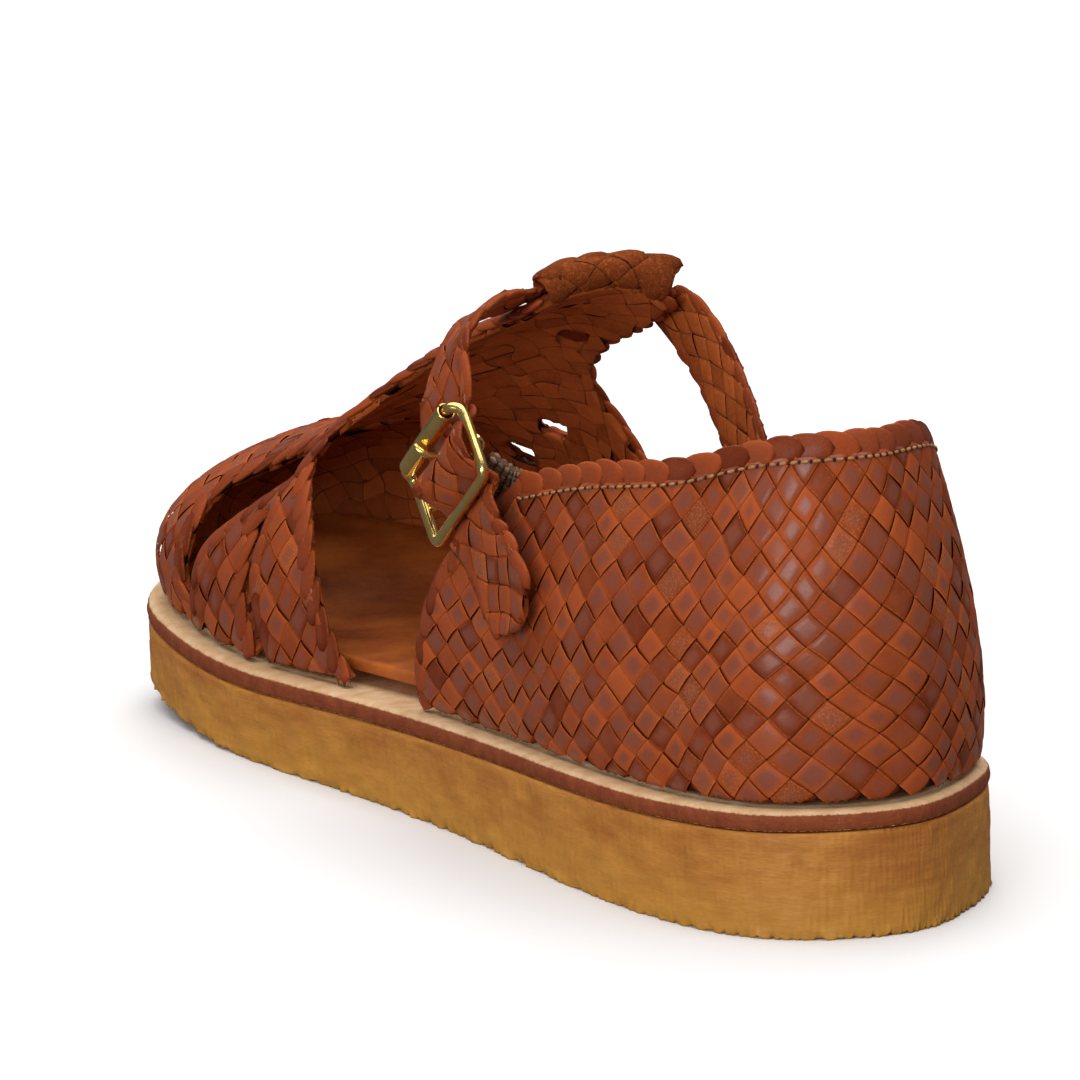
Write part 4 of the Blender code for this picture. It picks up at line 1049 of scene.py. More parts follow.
# Sweep: one ring of points at each place along a line, joined into a tube. An open one gets a lid at
# each end, of quads from side to side of the ring.
def tube(rings, closed=False):
    count, sides = rings.shape[:2]
    faces = gridFaces(count, sides, closeRows=closed, closeColumns=True)
    if not closed:
        i = np.arange(sides // 2 - 1)
        lid = np.column_stack([i, i + 1, sides - 2 - i, sides - 1 - i])
        faces = np.vstack([faces, lid, lid[:, ::-1] + (count - 1) * sides])
    around = np.broadcast_to(np.arange(sides) / sides, (count, sides)).ravel()
    along = np.repeat(walked(rings.mean(axis=1)), sides)
    return {"points": rings.reshape(-1, 3), "faces": faces, "uv": np.column_stack([along, around])}


# Round sections of a wire: circles across a line, and at a rounded end smaller ones beyond it.
def wireRings(line, radius, sides=28, up=outwards, rounded=False):
    radius = np.zeros(len(line)) + radius
    if rounded:
        ahead = unit(line[1] - line[0]), unit(line[-1] - line[-2])
        turn = np.radians([80, 55, 30])
        first = line[0] - np.outer(np.sin(turn) * radius[0] * 0.6, ahead[0])
        last = line[-1] + np.outer(np.sin(turn[::-1]) * radius[-1] * 0.6, ahead[1])
        line = np.vstack([first, line, last])
        radius = np.concatenate([np.cos(turn) * radius[0], radius, np.cos(turn[::-1]) * radius[-1]])
    along = unit(np.gradient(line, axis=0))
    side = unit(np.cross(along, up))
    rise = np.cross(side, along)
    turn = np.linspace(0, 2 * np.pi, sides, endpoint=False)[None, :, None]
    ring = side[:, None] * np.cos(turn) + rise[:, None] * np.sin(turn)
    return line[:, None] + radius[:, None, None] * ring


# Buckle's frame: a rectangle with corners of quarter circles, whose end bars rise as the ninth power of
# the share of the way along; the rear bar and the rails are a little thicker. The centre bar is a wire
# whose ends rise to the rails.
def buckleFrameParts():
    corner, far = buckle["corner"], buckle["length"] / 2
    length, width = far - corner, buckle["width"] / 2 - corner
    corners = [(length, width), (-length, width), (-length, -width), (length, -width)]
    along, across = [], []
    for number, (a, c) in enumerate(corners):
        turn = np.pi / 2 * number + np.linspace(0, np.pi / 2, 12)
        nextA, nextC = corners[(number + 1) % 4]
        a, c = a + corner * np.cos(turn), c + corner * np.sin(turn)
        stretch = np.linspace(0, 1, 18)[1:-1]
        along += [a, a[-1] + (nextA + corner * np.cos(turn[-1]) - a[-1]) * stretch]
        across += [c, c[-1] + (nextC + corner * np.sin(turn[-1]) - c[-1]) * stretch]
    along, across = np.concatenate(along), np.concatenate(across)
    low = buckle["railRise"] - 0.2 * along / far
    risen = np.where(along < 0, buckle["frontRise"], buckle["barRise"])
    line = bucklePoint(along, across, low + (risen - low) * np.abs(along / far) ** 9)
    rings = wireRings(np.vstack([line[-1:], line, line[:1]]), buckle["wire"])[1:-1]
    middle = rings.mean(axis=1, keepdims=True)
    offset = rings - middle
    rear = 0.15 * np.clip((along - length) / corner, 0, 1)[:, None, None]
    rail = 0.12 * (np.clip(1 - np.abs(along / far), 0, 0.3) / 0.3)[:, None, None]
    rings = (
        middle + offset + rear * (offset @ alongStrap)[..., None] * alongStrap
        + rail * (offset @ acrossStrap)[..., None] * acrossStrap
    )
    bar = np.linspace(-buckle["width"] / 2, buckle["width"] / 2, 25)
    centre = bucklePoint(0 * bar, bar, 2.5 * (np.abs(bar) / bar[-1]) ** 6 - buckle["centreSink"])
    return [tube(rings, closed=True), tube(wireRings(centre, buckle["centreWire"]))]


# Roller: a tube rolled from sheet, open along a narrow seam. Its section goes round outside, over a
# half-round lip, back inside and over the other lip; at its ends the sheet grows thinner.
def rollerParts():
    outer, inner = buckle["roller"], buckle["rollerBore"]
    mid, half = (outer + inner) / 2, (outer - inner) / 2
    start, end, seamAt = buckle["rollerSeam"]
    turn = np.linspace(start, 2 * np.pi - end, 44) + seamAt
    lip = np.linspace(0, np.pi, 5)[1:-1]
    lipDepth, lipTurn, flat = half * np.cos(lip), buckle["rollerLip"] * np.sin(lip), np.full(44, half)
    depth = np.concatenate([flat, lipDepth, -flat, -lipDepth])
    bearing = np.concatenate([turn, turn[-1] + lipTurn, turn[::-1], turn[0] - lipTurn])
    rings = []
    for share, thin in buckle["rollerEnds"]:
        r = mid + depth * (1 - thin / half)
        along, out = r * np.cos(bearing) - buckle["length"] / 2, r * np.sin(bearing) + buckle["frontRise"]
        rings.append(bucklePoint(along, share * buckle["rollerLength"] + 0 * r, out))
    return [tube(np.array(rings))]


# Prong: a wire along a spline, a quarter thinner at its tip.
def prongParts():
    line = resampled(buckle["prongWay"], 0.5)
    points = bucklePoint(line[:, 0], 0 * line[:, 0], line[:, 1])
    share = np.linspace(0, 1, len(line))
    radius = buckle["prong"] * (1 - 0.25 * smoothStep((share - 0.75) / 0.25))
    return [tube(wireRings(points, radius, sides=20, up=acrossStrap, rounded=True))]


# Node with its settings and its inputs, which are values or other nodes' sockets.
def addNode(tree, kind, inputs=None, **settings):
    item = tree.nodes.new("ShaderNode" + kind)
    for key, value in settings.items():
        setattr(item, key, value)
    for key, value in (inputs or {}).items():
        if isinstance(value, bpy.types.NodeSocket):
            tree.links.new(value, item.inputs[key])
        else:
            item.inputs[key].default_value = value
    return item


# One operation on numbers or masks.
def mathNode(tree, operation, *values, clamp=False):
    return addNode(tree, "Math", dict(enumerate(values)), operation=operation, use_clamp=clamp).outputs[0]


# Product and sum of two numbers or masks.
def product(tree, a, b, clamp=False):
    return mathNode(tree, "MULTIPLY", a, b, clamp=clamp)


def plus(tree, a, b):
    return mathNode(tree, "ADD", a, b)


# Mix of two colours: a + factor * (b - a).
def mixColour(tree, factor, a, b):
    settings = {"data_type": "RGBA", "blend_type": "MIX", "clamp_factor": True}
    return addNode(tree, "Mix", {0: factor, 6: a, 7: b}, **settings).outputs[2]


# Straight map of one range on another, held at its ends.
def rangeNode(tree, value, low, high, toLow=0.0, toHigh=1.0):
    return addNode(tree, "MapRange", {0: value, 1: low, 2: high, 3: toLow, 4: toHigh}, clamp=True).outputs[0]


# Pseudo-random choice for each strip: the fraction of its tone times a number, mapped on a range.
def toneChoice(tree, tone, times, low, high, toLow=0.0, toHigh=1.0):
    fraction = mathNode(tree, "FRACT", product(tree, tone, times))
    return rangeNode(tree, fraction, low, high, toLow, toHigh)


# Linear colour of display values from 0 to 255, by the display's own curve.
def colour(red, green, blue):
    straight = np.array([red, green, blue]) / 255
    return (*np.where(straight < 0.04045, straight / 12.92, ((straight + 0.055) / 1.055) ** 2.4), 1.0)


# Empty node group with named inputs and outputs.
def newGroup(name, inputs, outputs):
    tree = bpy.data.node_groups.new(name, "ShaderNodeTree")
    for label, kind, value in inputs:
        socket = tree.interface.new_socket(label, in_out="INPUT", socket_type="NodeSocket" + kind)
        if value is not None:
            socket.default_value = value
    for label, kind in outputs:
        tree.interface.new_socket(label, in_out="OUTPUT", socket_type="NodeSocket" + kind)
    return tree, tree.nodes.new("NodeGroupInput").outputs, tree.nodes.new("NodeGroupOutput").inputs


# Group placed in a material with its own values.
def placeGroup(tree, group, inputs):
    return addNode(tree, "Group", inputs, node_tree=group).outputs


# Noise of a scale, detail and roughness at a place.
def noise(tree, at, scale, detail, roughness, **more):
    inputs = {"Vector": at, "Scale": scale, "Detail": detail, "Roughness": roughness, **more}
    return addNode(tree, "TexNoise", inputs).outputs[0]


# Leather grain: fine cells for pores, stretched noise for creases, broad noise for stains. Height is
# 0.35 * pores plus crease times the creases' lines.
def leatherGrain():
    tree, given, out = newGroup(
        "leatherGrain", [("Place", "Vector", None), ("Pore Size", "Float", 0.6), ("Crease", "Float", 0.5)],
        [("Height", "Float"), ("Stain", "Float"), ("Speck", "Float")],
    )
    at = given["Place"]
    scale = mathNode(tree, "DIVIDE", 1.0, given["Pore Size"])
    pores = addNode(tree, "TexVoronoi", {"Vector": at, "Scale": scale}, feature="F1").outputs["Distance"]
    crease = noise(tree, at, 0.9, 5.0, 0.62, Distortion=1.2)
    stain = noise(tree, at, 0.16, 4.0, 0.6)
    speck = noise(tree, at, 2.6, 3.0, 0.7)
    folded = mathNode(tree, "ABSOLUTE", mathNode(tree, "SUBTRACT", crease, 0.5))
    line = product(tree, rangeNode(tree, folded, 0.0, 0.09), given["Crease"])
    tree.links.new(plus(tree, product(tree, pores, 0.35), line), out["Height"])
    tree.links.new(rangeNode(tree, stain, 0.32, 0.68), out["Stain"])
    tree.links.new(rangeNode(tree, speck, 0.42, 0.72), out["Speck"])
    return tree


# Cut edge, wear, painted shade and painted sheen. Distance from the strip's centre is the fourth root of the
# sum of fourth powers of the two shares, made ragged by stains, specks and tone. Some strips take a random
# darker tone. The centre is darker glazed leather with a painted greyish sheen, the cut sides show the raw
# leather, a few strips are crackled, and the ends that dive under their neighbours get painted shade.
def stripWearShadeAndSheen():
    tree, given, out = newGroup(
        "stripWearShadeAndSheen",
        [("Look", "Vector", None), ("Stain", "Float", 0.5), ("Speck", "Float", 0.5), ("Base", "Color", None),
         ("Centre", "Color", None), ("Raw Edge", "Color", None), ("Shade", "Color", None),
         ("BurnishAndSheen", "Float", 0.6), ("Variation", "Float", 0.5), ("Crackle", "Float", 1.0)],
        [("Color", "Color"), ("Polish", "Float")],
    )
    stain, speck, rawEdge, shade = given["Stain"], given["Speck"], given["Raw Edge"], given["Shade"]
    random, side, end = addNode(tree, "SeparateXYZ", {0: given["Look"]}).outputs
    sides = plus(tree, mathNode(tree, "POWER", side, 4.0), mathNode(tree, "POWER", end, 4.0))
    reach = mathNode(tree, "POWER", sides, 0.25)
    reach = plus(tree, reach, rangeNode(tree, stain, 0.0, 1.0, -0.1, 0.1))
    ragged = plus(tree, reach, rangeNode(tree, speck, 0.0, 1.0, -0.05, 0.08))
    ragged = plus(tree, ragged, toneChoice(tree, random, 5.1, 0, 1, -0.12, 0.2))
    away = rangeNode(tree, ragged, 0.42, 0.92, 1.0, 0.0)
    worn = toneChoice(tree, random, 7.3, 0.72, 0.86, 1.0, 0.25)
    # Painted sheen: the tile's centre goes towards the centre colour, darker glazed leather with a greyish
    # reflection painted in.
    burnishSheenMask = product(tree, away, product(tree, given["BurnishAndSheen"], worn), clamp=True)
    tone = plus(tree, product(tree, random, 0.8), product(tree, stain, 0.2))
    # Random darker tone for each strip, towards the shade colour: the leather's own tone.
    darker = product(tree, given["Variation"], rangeNode(tree, tone, 0.3, 0.8))
    main = mixColour(tree, burnishSheenMask, mixColour(tree, darker, given["Base"], shade), given["Centre"])
    flecked = rangeNode(tree, speck, 0.2, 0.7, 0.1, 0.7)
    crackled = product(tree, toneChoice(tree, random, 13.7, 0.84, 0.9), flecked)
    main = mixColour(tree, product(tree, crackled, given["Crackle"]), main, rawEdge)
    cut = rangeNode(tree, side, 0.88, 0.99)
    cut = product(tree, cut, rangeNode(tree, speck, 0.0, 0.8, 0.1, 0.8), clamp=True)
    edged = mixColour(tree, cut, main, rawEdge)
    # Painted shade: ends that dive under their neighbours darken towards the shade colour.
    tree.links.new(mixColour(tree, rangeNode(tree, end, 0.86, 1.08, 0.0, 0.85), edged, shade), out["Color"])
    tree.links.new(product(tree, away, worn), out["Polish"])
    return tree


# Mottle: two sizes of noise for cloudy colour, and a height that is 0.7 of one plus 0.3 of the other.
def mottle():
    tree, given, out = newGroup(
        "mottle", [("Place", "Vector", None), ("Size", "Float", 5.0), ("Detail", "Float", 5.0)],
        [("Cloud", "Float"), ("Fine", "Float"), ("Height", "Float")],
    )
    scale = mathNode(tree, "DIVIDE", 1.0, given["Size"])
    cloud = noise(tree, given["Place"], scale, given["Detail"], 0.62)
    fine = noise(tree, given["Place"], product(tree, scale, 9.0), 3.0, 0.6)
    height = plus(tree, product(tree, cloud, 0.7), product(tree, fine, 0.3))
    tree.links.new(rangeNode(tree, cloud, 0.33, 0.67), out["Cloud"])
    tree.links.new(rangeNode(tree, fine, 0.35, 0.65), out["Fine"])
    tree.links.new(height, out["Height"])
    return tree


grainGroup, wearShadeSheenGroup, mottleGroup = leatherGrain(), stripWearShadeAndSheen(), mottle()


# Material with its shader's fixed values; an underscore stands for a space in their names.
def newMaterial(name, **settings):
    material = bpy.data.materials.new(name)
    material.use_nodes = True
    shader = material.node_tree.nodes["Principled BSDF"]
    for key, value in settings.items():
        shader.inputs[key.replace("_", " ")].default_value = value
    return material, material.node_tree, shader


# Place on the object in millimetres, squeezed along each axis by its own factor.
def place(tree, stretch=(1, 1, 1)):
    at = addNode(tree, "TexCoord").outputs["Object"]
    stretched = tuple(1000.0 * s for s in stretch)
    return addNode(tree, "VectorMath", {0: at, 1: stretched}, operation="MULTIPLY").outputs[0]


# Parts of the mesh's look: a random tone, the share of the way to a cut side, and that to an end.
def lookParts(tree):
    look = addNode(tree, "Attribute", attribute_name="look").outputs["Vector"]
    return addNode(tree, "SeparateXYZ", {0: look}).outputs


# Links the colour, a range of roughness and a bump to the shader.
def finish(tree, shader, toned, mask, rough, height, strength, distance):
    tree.links.new(toned, shader.inputs["Base Color"])
    tree.links.new(rangeNode(tree, mask, 0.0, 1.0, *rough), shader.inputs["Roughness"])
    bump = addNode(tree, "Bump", {"Height": height, "Strength": strength, "Distance": distance})
    tree.links.new(bump.outputs[0], shader.inputs["Normal"])


# The centre colour is darker glazed leather with a painted greyish sheen. The shade colour serves both a
# random darker tone and the painted shade at the strip ends.
woven = {
    "base": (170, 78, 34), "centre": (128, 68, 50), "rawEdge": (196, 108, 54), "shade": (86, 26, 6),
    "crackle": 0.7, "crease": 0.5, "burnishAndSheen": 0.85, "variation": 0.8, "roughHigh": 0.62, "roughLow": 0.36,
    "coat": 0.6, "specular": 0.16, "grain": 0.35,
}
suede = {
    "base": (186, 96, 46), "centre": (172, 86, 40), "rawEdge": (206, 112, 56), "shade": (110, 50, 20),
    "crackle": 0.0, "crease": 0.9, "burnishAndSheen": 0.5, "variation": 0.6, "roughHigh": 0.95, "roughLow": 0.85,
    "coat": 0, "specular": 0.1, "grain": 0.6,
}
foldSuede = dict(suede, base=(158, 78, 36), centre=(140, 68, 32), rawEdge=(182, 98, 50), grain=0.9)
foldedStrip = dict(
    woven, base=(150, 66, 29), centre=(132, 62, 36), rawEdge=(182, 98, 48), crackle=0.0, burnishAndSheen=0.6,
    roughHigh=0.65, roughLow=0.42, coat=0.2, grain=0.5,
)


# Woven leather: colour and polish from the group of wear, painted shade and painted sheen, roughness falling
# with polish, and a wax coat of polish times coat.
def wovenMaterial(name, values):
    material, tree, shader = newMaterial(
        name, Specular_IOR_Level=values["specular"], IOR=1.35, Coat_Roughness=0.24, Coat_IOR=1.4,
    )
    look = addNode(tree, "Attribute", attribute_name="look").outputs["Vector"]
    grain = {"Place": place(tree), "Pore Size": 0.55, "Crease": values["crease"]}
    marks = placeGroup(tree, grainGroup, grain)
    # Colour of the strips: real wear, painted shade at their ends and painted sheen at their centres; and
    # their polish.
    worn = placeGroup(tree, wearShadeSheenGroup, {
        "Look": look, "Stain": marks["Stain"], "Speck": marks["Speck"], "Base": colour(*values["base"]),
        "Centre": colour(*values["centre"]), "Raw Edge": colour(*values["rawEdge"]),
        "Shade": colour(*values["shade"]), "BurnishAndSheen": values["burnishAndSheen"], "Variation": values["variation"],
        "Crackle": values["crackle"],
    })
    if values["coat"]:
        tree.links.new(product(tree, worn["Polish"], values["coat"]), shader.inputs["Coat Weight"])
    rough = values["roughHigh"], values["roughLow"]
    finish(tree, shader, worn["Color"], worn["Polish"], rough, marks["Height"], values["grain"], 0.00025)
    return material


# Plain leather: clouds between a dark and a light colour, specks of the dark one, and leather grain.
def plainLeather(name, light, dark, rough, grain, size=6.0, speckle=0.3):
    material, tree, shader = newMaterial(name, Specular_IOR_Level=0.2)
    at = place(tree)
    clouds = placeGroup(tree, mottleGroup, {"Place": at, "Size": size, "Detail": 5.0})
    marks = placeGroup(tree, grainGroup, {"Place": at, "Pore Size": 0.5, "Crease": 0.4})
    toned = mixColour(tree, clouds["Cloud"], colour(*dark), colour(*light))
    toned = mixColour(tree, product(tree, marks["Speck"], speckle), toned, colour(*dark))
    finish(tree, shader, toned, clouds["Fine"], (rough - 0.08, rough + 0.08), marks["Height"], grain, 0.0002)
    return material


# Crepe rubber: clouds and flat streaks of amber, lighter near the floor, with a little light let in.
def crepeMaterial():
    material, tree, shader = newMaterial(
        "crepeRubber", Subsurface_Weight=0.12, Subsurface_Scale=0.003, Specular_IOR_Level=0.35,
        Subsurface_Radius=(1.0, 0.45, 0.12),
    )
    at = place(tree, (0.45, 0.45, 1.0))
    broad = placeGroup(tree, mottleGroup, {"Place": at, "Size": 7.0, "Detail": 6.0})
    at = place(tree, (0.12, 0.12, 1.0))
    streak = placeGroup(tree, mottleGroup, {"Place": at, "Size": 2.2, "Detail": 4.0})
    height = addNode(tree, "SeparateXYZ", {0: addNode(tree, "TexCoord").outputs["Object"]}).outputs[2]
    tones = ("dark", "light", "streak", "stain", "low")
    dark, light, amber, stain, low = [colour(*crepe[tone]) for tone in tones]
    toned = mixColour(tree, broad["Cloud"], dark, light)
    toned = mixColour(tree, product(tree, streak["Cloud"], 0.35), toned, amber)
    toned = mixColour(tree, product(tree, streak["Fine"], 0.3), toned, stain)
    toned = mixColour(tree, rangeNode(tree, height, 0.0, 0.012, 0.5, 0.0), toned, low)
    bump = plus(tree, broad["Height"], streak["Height"])
    finish(tree, shader, toned, streak["Fine"], (0.5, 0.72), bump, 0.4, 0.0005)
    return material


# Midsole: painted brown, and raw cream leather where the look's first part passes a ragged limit.
def midsoleMaterial():
    material, tree, shader = newMaterial("midsoleLeather", Specular_IOR_Level=0.3)
    rawness = lookParts(tree)[0]
    clouds = placeGroup(tree, mottleGroup, {"Place": place(tree), "Size": 4.0, "Detail": 6.0})
    fibre = placeGroup(tree, mottleGroup, {"Place": place(tree, (1, 1, 3)), "Size": 1.6, "Detail": 4.0})
    painted = mixColour(tree, clouds["Cloud"], *[colour(*shown) for shown in midsole["painted"]])
    fibres = product(tree, fibre["Fine"], 0.4)
    painted = mixColour(tree, fibres, painted, colour(*midsole["fibre"]))
    cream = mixColour(tree, clouds["Cloud"], *[colour(*shown) for shown in midsole["raw"]])
    fibres = product(tree, fibre["Fine"], 0.3)
    cream = mixColour(tree, fibres, cream, colour(*midsole["rawFibre"]))
    frayed = product(tree, mathNode(tree, "SUBTRACT", clouds["Fine"], 0.5), 0.3)
    raw = rangeNode(tree, plus(tree, rawness, frayed), 0.12, 0.45)
    bump = plus(tree, fibre["Height"], clouds["Height"])
    toned = mixColour(tree, raw, painted, cream)
    finish(tree, shader, toned, clouds["Fine"], (0.5, 0.75), bump, 0.7, 0.0005)
    return material


# Gold plate: metal between two tones, its roughness and a faint unevenness from the mottle.
def goldMaterial():
    material, tree, shader = newMaterial("goldPlate", Metallic=1.0)
    clouds = placeGroup(tree, mottleGroup, {"Place": place(tree), "Size": 4.0, "Detail": 5.0})
    toned = mixColour(tree, clouds["Cloud"], *[colour(*shown) for shown in buckle["tones"]])
    finish(tree, shader, toned, clouds["Fine"], (0.15, 0.25), clouds["Height"], 0.06, 0.0002)
    return material


# Elastic: each loop of yarn has its own tone between two greys, with darker specks.
def webbingMaterial():
    material, tree, shader = newMaterial("elasticWebbing", Specular_IOR_Level=0.2, Roughness=0.85)
    clouds = placeGroup(tree, mottleGroup, {"Place": place(tree), "Size": 1.2, "Detail": 4.0})
    toned = mixColour(tree, lookParts(tree)[0], *[colour(*shown) for shown in elastic["tones"]])
    toned = mixColour(tree, product(tree, clouds["Fine"], 0.5), toned, colour(*elastic["speck"]))
    tree.links.new(toned, shader.inputs["Base Color"])
    bump = addNode(tree, "Bump", {"Height": clouds["Height"], "Strength": 0.5, "Distance": 0.0003})
    tree.links.new(bump.outputs[0], shader.inputs["Normal"])
    return material


wovenLeather = wovenMaterial("wovenLeather", woven)
foldLeather = wovenMaterial("foldSuede", foldSuede)
suedeLeather = wovenMaterial("suedeSide", suede)
foldedEdge = wovenMaterial("foldedEdge", foldedStrip)
# Lining: dark brown, partly the leather's own colour and partly painted shade inside the shoe.
liningLeather = plainLeather("liningLeather", (104, 50, 26), (58, 24, 12), 0.8, 0.4)
insoleLeather = plainLeather(
    "insoleLeather", (186, 102, 40), (136, 64, 24), 0.5, 0.3, size=14.0, speckle=0.25,
)
# Dark leather of the walls under the strips and of the stitch holes: painted shade in the gaps between
# strips.
paintedShadeLeather = plainLeather("paintedShadeLeather", (74, 30, 14), (48, 18, 8), 0.85, 0.3)
stitchThread = plainLeather("stitchThread", (196, 146, 100), (134, 90, 54), 0.9, 0.6, size=2.0)
crepeRubber, midsoleLeather, goldPlate, elasticWebbing = (
    crepeMaterial(), midsoleMaterial(), goldMaterial(), webbingMaterial()
)
print("materials ready")

# Sole
addPiece("crepeSole", soleParts(), crepeRubber, "outsole")
addPiece("midsoleBoard", midsoleParts(), midsoleLeather, "midsole")
addPiece("insoleBoard", insoleParts(), insoleLeather, "insole")


# Pattern line at one height, from one side to the other.
def levelLine(first, last, height, count):
    return np.column_stack([np.linspace(first, last, count), np.full(count, height)])


# Counter and quarters
topLine = levelLine(quarterLeft[-1, 0] + 1, quarterRight[-1, 0] - 1, 0.0, 300)
stitchLine = topLine - [0, quarter["stitchDrop"]]
addPiece("quarterWeave", wovenTiles(quarterBelowStitch, quarterWeave), wovenLeather, closed=False)
# Wall under the quarter's strips: a dark sheet of painted shade, seen through their gaps.
addPiece("quarterShadeWall", panelWall(quarterBelowEdge, *quarter["wall"]), paintedShadeLeather)
# Lining inside the quarter, coloured darker as painted shade.
addPiece("quarterLining", panelWall(quarterBelowEdge, *quarter["lining"]), liningLeather)
addPiece("quarterEdge", [
    pillowRow(quarterPanel, topLine, edgeScallop),
    pillowRow(quarterPanel, quarterLeft[::-1], bandScallop, seed=3),
    pillowRow(quarterPanel, quarterRight, bandScallop, seed=4),
], foldedEdge)
addPiece("quarterStitches", pillowRow(quarterPanel, stitchLine, topStitch), stitchThread)
# Stitch holes: dark pillows between the stitches, painted shade.
holeLine = stitchLine + [topStitch["spacing"] / 2, 0]
addPiece("stitchHoleShades", pillowRow(quarterPanel, holeLine, stitchHoleShade), paintedShadeLeather)

# Vamp, bands and T-bar
bandEdges = [
    pillowRow(vampPanel, edgeOnSide(name, side), dict(bandScallop, inset=inset), seed=seed)
    for name, side, inset, seed in (
        ("lateralRear", -1, 1.9, 0), ("medialRear", 1, 1.9, 1),
        ("lateralSlit", -1, 1.5, 5), ("medialSlit", 1, 1.5, 6),
    )
]
openingEdges = [
    pillowRow(vampPanel, line, bandScallop, closed=True, seed=9 + k)
    for k, line in enumerate(vampRims[1:4])
]
addPiece("vampWeave", wovenTiles(vampPanel, vampWeave), wovenLeather, closed=False)
addPiece("vampInside", wovenTiles(vampPanel, vampInside, side=-1), suedeLeather, closed=False)
# Wall under the vamp's strips: a dark sheet of painted shade, seen through their gaps.
addPiece("vampShadeWall", panelWall(vampPanel, **vampShadeWall), paintedShadeLeather)
addPiece("vampEdge", bandEdges + openingEdges, foldedEdge)

# Fold over the strap
foldLines = [
    foldRim[(np.abs(foldRim[:, 0] - x) < 0.3) & (foldRim[:, 1] > 4)]
    for x in (fold["lateralEnd"], fold["medialEnd"])
] + [foldRim[foldRim[:, 1] > foldChord[-1] - 1.0]]
ridgeLine = levelLine(fold["lateralEnd"] + 1, fold["medialEnd"], fold["ridgeY"], 30)
addPiece("foldWeave", wovenTiles(foldPanel, foldWeave), foldLeather, closed=False)
# Wall under the fold's strips: a dark sheet of painted shade, seen through their gaps.
addPiece("foldShadeWall", panelWall(foldPanel, **fold["wall"]), paintedShadeLeather)
addPiece("foldEdge", [
    pillowRow(foldPanel, line, foldScallop, seed=40 + k) for k, line in enumerate(foldLines)
] + [pillowRow(foldPanel, ridgeLine, ridgeScallop, seed=48)], foldLeather)

# Strap
longEdge = np.arange(6.0, strapEnd - 1, 1.0)
addPiece("strapWeave", wovenTiles(strapPanel, strapWeave), wovenLeather, "ankle_strap", closed=False)
strapInside = wovenTiles(strapBack, dict(strapWeave, **strap["inside"]))
addPiece("strapInside", strapInside, suedeLeather, "ankle_strap", closed=False)
# Core between the strap's two faces: a dark sheet of painted shade, seen through their gaps.
addPiece("strapShadeCore", panelWall(strapPanel, **strap["core"]), paintedShadeLeather, "ankle_strap")
strapSides = {side: np.column_stack([longEdge, side * strapHalf + 0 * longEdge]) for side in (-1, 1)}
addPiece("strapEdge", [
    pillowRow(strapPanel, line, strapScallop, seed=20 + side) for side, line in strapSides.items()
], foldedEdge, "ankle_strap")

# Buckle
addPiece("buckleFrame", buckleFrameParts(), goldPlate, "buckle_frame")
addPiece("buckleRoller", rollerParts(), goldPlate, "buckle_roller")
addPiece("buckleProng", prongParts(), goldPlate, "buckle_prong")

# Elastic: rows of loops on both faces of a thin band
elasticWay = resampled(elastic["way"], 2.5)
elasticLength, elasticHalf = walked(elasticWay)[-1], elastic["halfWidth"]
elasticRim = rectangle((0.2, -elasticHalf), (elasticLength, elasticHalf))
elasticPanel = {
    "surface": ribbonSurface(elasticWay, acrossStrap + 0 * elasticWay), "field": edgeField([elasticRim]),
}
longWay = np.arange(0.8, elasticLength - 0.5, 0.5)
addPiece("elasticYarn", [
    pillowRow(
        elasticPanel, np.column_stack([longWay, across + 0 * longWay]),
        dict(yarnLoop, slant=0.5 * (-1) ** k, lift=lift), seed=30 + k,
    )
    for lift in (elastic["yarnLift"], -elastic["yarnLift"])
    for k, across in enumerate(np.arange(-elasticHalf + 0.6, elasticHalf, elastic["yarnPitch"]))
], elasticWebbing, "elastic")
addPiece("elasticBand", panelWall(elasticPanel, **elastic["band"]), elasticWebbing, "elastic")

# Floor: white to the eye, darker for the light that it throws back
stage = {"floor": (234, 234, 234), "thrown": (150, 150, 150), "mirrored": (86, 84, 82), "half": 8}
floorMaterial, tree, shader = newMaterial("paleFloor", Roughness=0.9, Specular_IOR_Level=0.1)
rays = addNode(tree, "LightPath").outputs
bounced = mixColour(tree, rays["Is Glossy Ray"], colour(*stage["thrown"]), colour(*stage["mirrored"]))
seen = mixColour(tree, rays["Is Camera Ray"], bounced, colour(*stage["floor"]))
tree.links.new(seen, shader.inputs["Base Color"])
mesh = bpy.data.meshes.new("floor")
half = stage["half"]
corners = [(-half, -half, 0), (half, -half, 0), (half, half, 0), (-half, half, 0)]
mesh.from_pydata(corners, [], [(0, 1, 2, 3)])
mesh.materials.append(floorMaterial)
floor = bpy.data.objects.new("floor", mesh)
bpy.context.scene.collection.objects.link(floor)
print("floor ready")

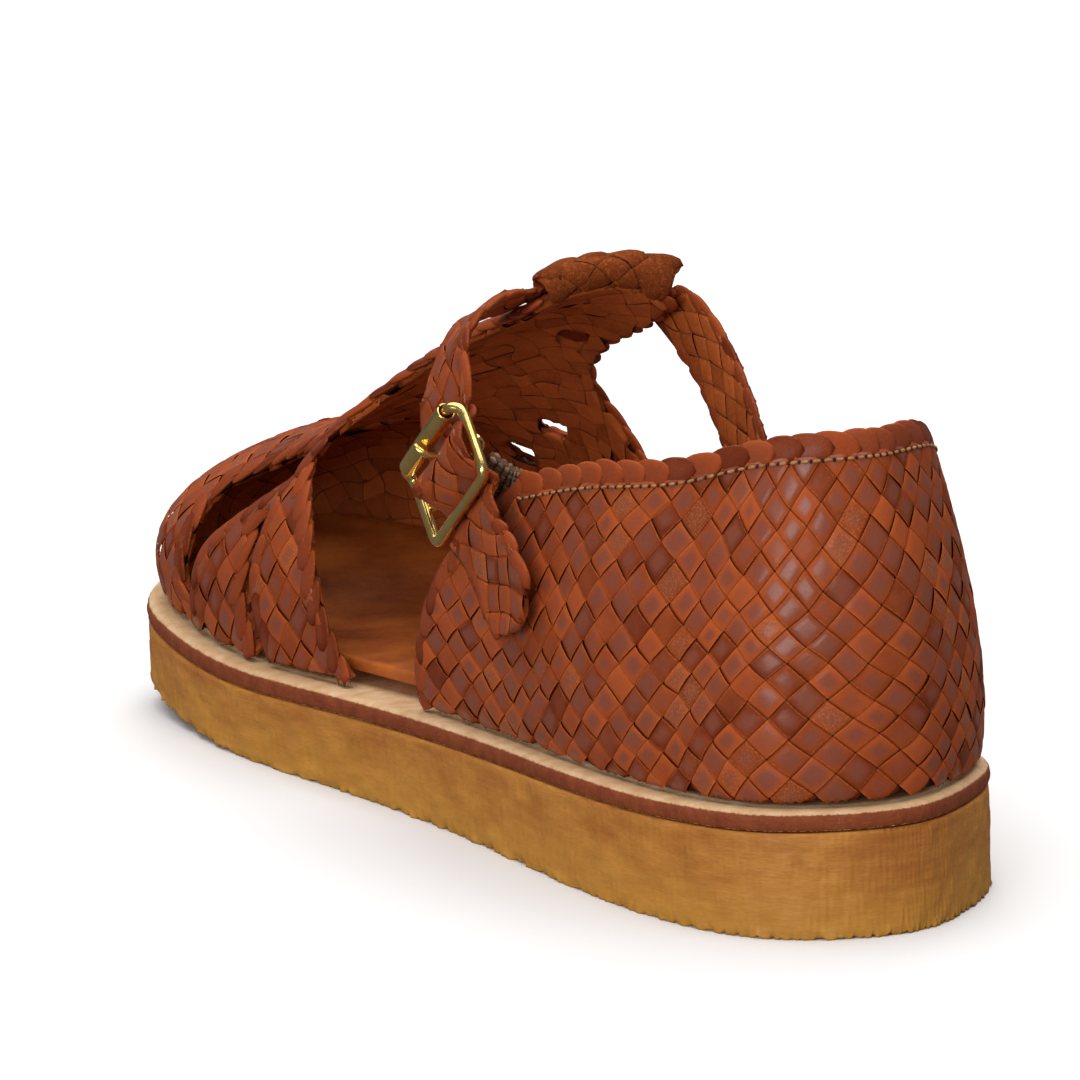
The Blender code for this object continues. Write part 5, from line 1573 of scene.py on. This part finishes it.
lights = {                # place, aim, size, power, roll, and whether it shows in gloss
    "overhead": ((0.0, 0.1, 1.6), (0, 0, 0.05), (2.2, 2.2), 37, np.pi, True),
    "softbox": ((-1.15, -1.1, 0.42), (0, -0.12, 0.06), (0.5, 1.4), 15, 1.0, True),
    "window": ((0.9, -1.35, 0.7), (0, -0.05, 0.05), (0.5, 1.0), 1.5, 0.0, False),
    "front": ((0.8, 1.2, 0.9), (0, 0, 0.05), (1.0, 1.0), 8, 0.0, False),
}
world = {"seen": 1.0, "thrown": 0.3, "mirrored": 0.14}
camera = {
    "eye": (-0.5863425, -1.2517541, 0.3248414), "aim": (-0.004, 0.0, 0.047),
    "up": (0.10634091, 0.15909659, 0.98151917), "sensor": 36.0, "lens": 252.0, "clip": (0.05, 50),
}


# Turn that looks from one point to another: back is away from the aim, right is up times back, and the
# two others are rolled about it.
def looking(where, target, up, roll=0.0):
    back = unit(np.array(where, float) - np.array(target, float))
    right = unit(np.cross(up, back))
    above = np.cross(back, right)
    across = right * np.cos(roll) - above * np.sin(roll)
    upwards = right * np.sin(roll) + above * np.cos(roll)
    return Matrix([[across[r], upwards[r], back[r], where[r]] for r in range(3)] + [[0, 0, 0, 1]])


for name, (where, target, size, power, roll, seenInGloss) in lights.items():
    data = bpy.data.lights.new(name, "AREA")
    data.shape, data.size, data.size_y = "RECTANGLE", size[0], size[1]
    data.energy = power
    light = bpy.data.objects.new(name, data)
    light.matrix_world = looking(where, target, (0, 0, 1), roll)
    light.visible_glossy = seenInGloss
    bpy.context.scene.collection.objects.link(light)

# Sky: white to the eye, dimmer for the light that it throws and dimmer still in reflections
sky = bpy.context.scene.world or bpy.data.worlds.new("world")
bpy.context.scene.world = sky
sky.use_nodes = True
background = sky.node_tree.nodes["Background"]
background.inputs[0].default_value = (1, 1, 1, 1)
rays = addNode(sky.node_tree, "LightPath").outputs
strength = rangeNode(sky.node_tree, rays["Is Glossy Ray"], 0, 1, world["thrown"], world["mirrored"])
shown = product(sky.node_tree, rays["Is Camera Ray"], world["seen"])
sky.node_tree.links.new(mathNode(sky.node_tree, "MAXIMUM", strength, shown), background.inputs[1])
bpy.context.scene.view_settings.view_transform = "Standard"

view = bpy.data.objects.new("camera", bpy.data.cameras.new("camera"))
view.data.sensor_width, view.data.lens = camera["sensor"], camera["lens"]
view.data.clip_start, view.data.clip_end = camera["clip"]
view.matrix_world = looking(camera["eye"], camera["aim"], camera["up"])
bpy.context.scene.collection.objects.link(view)
bpy.context.scene.camera = view
print("lights and camera ready")
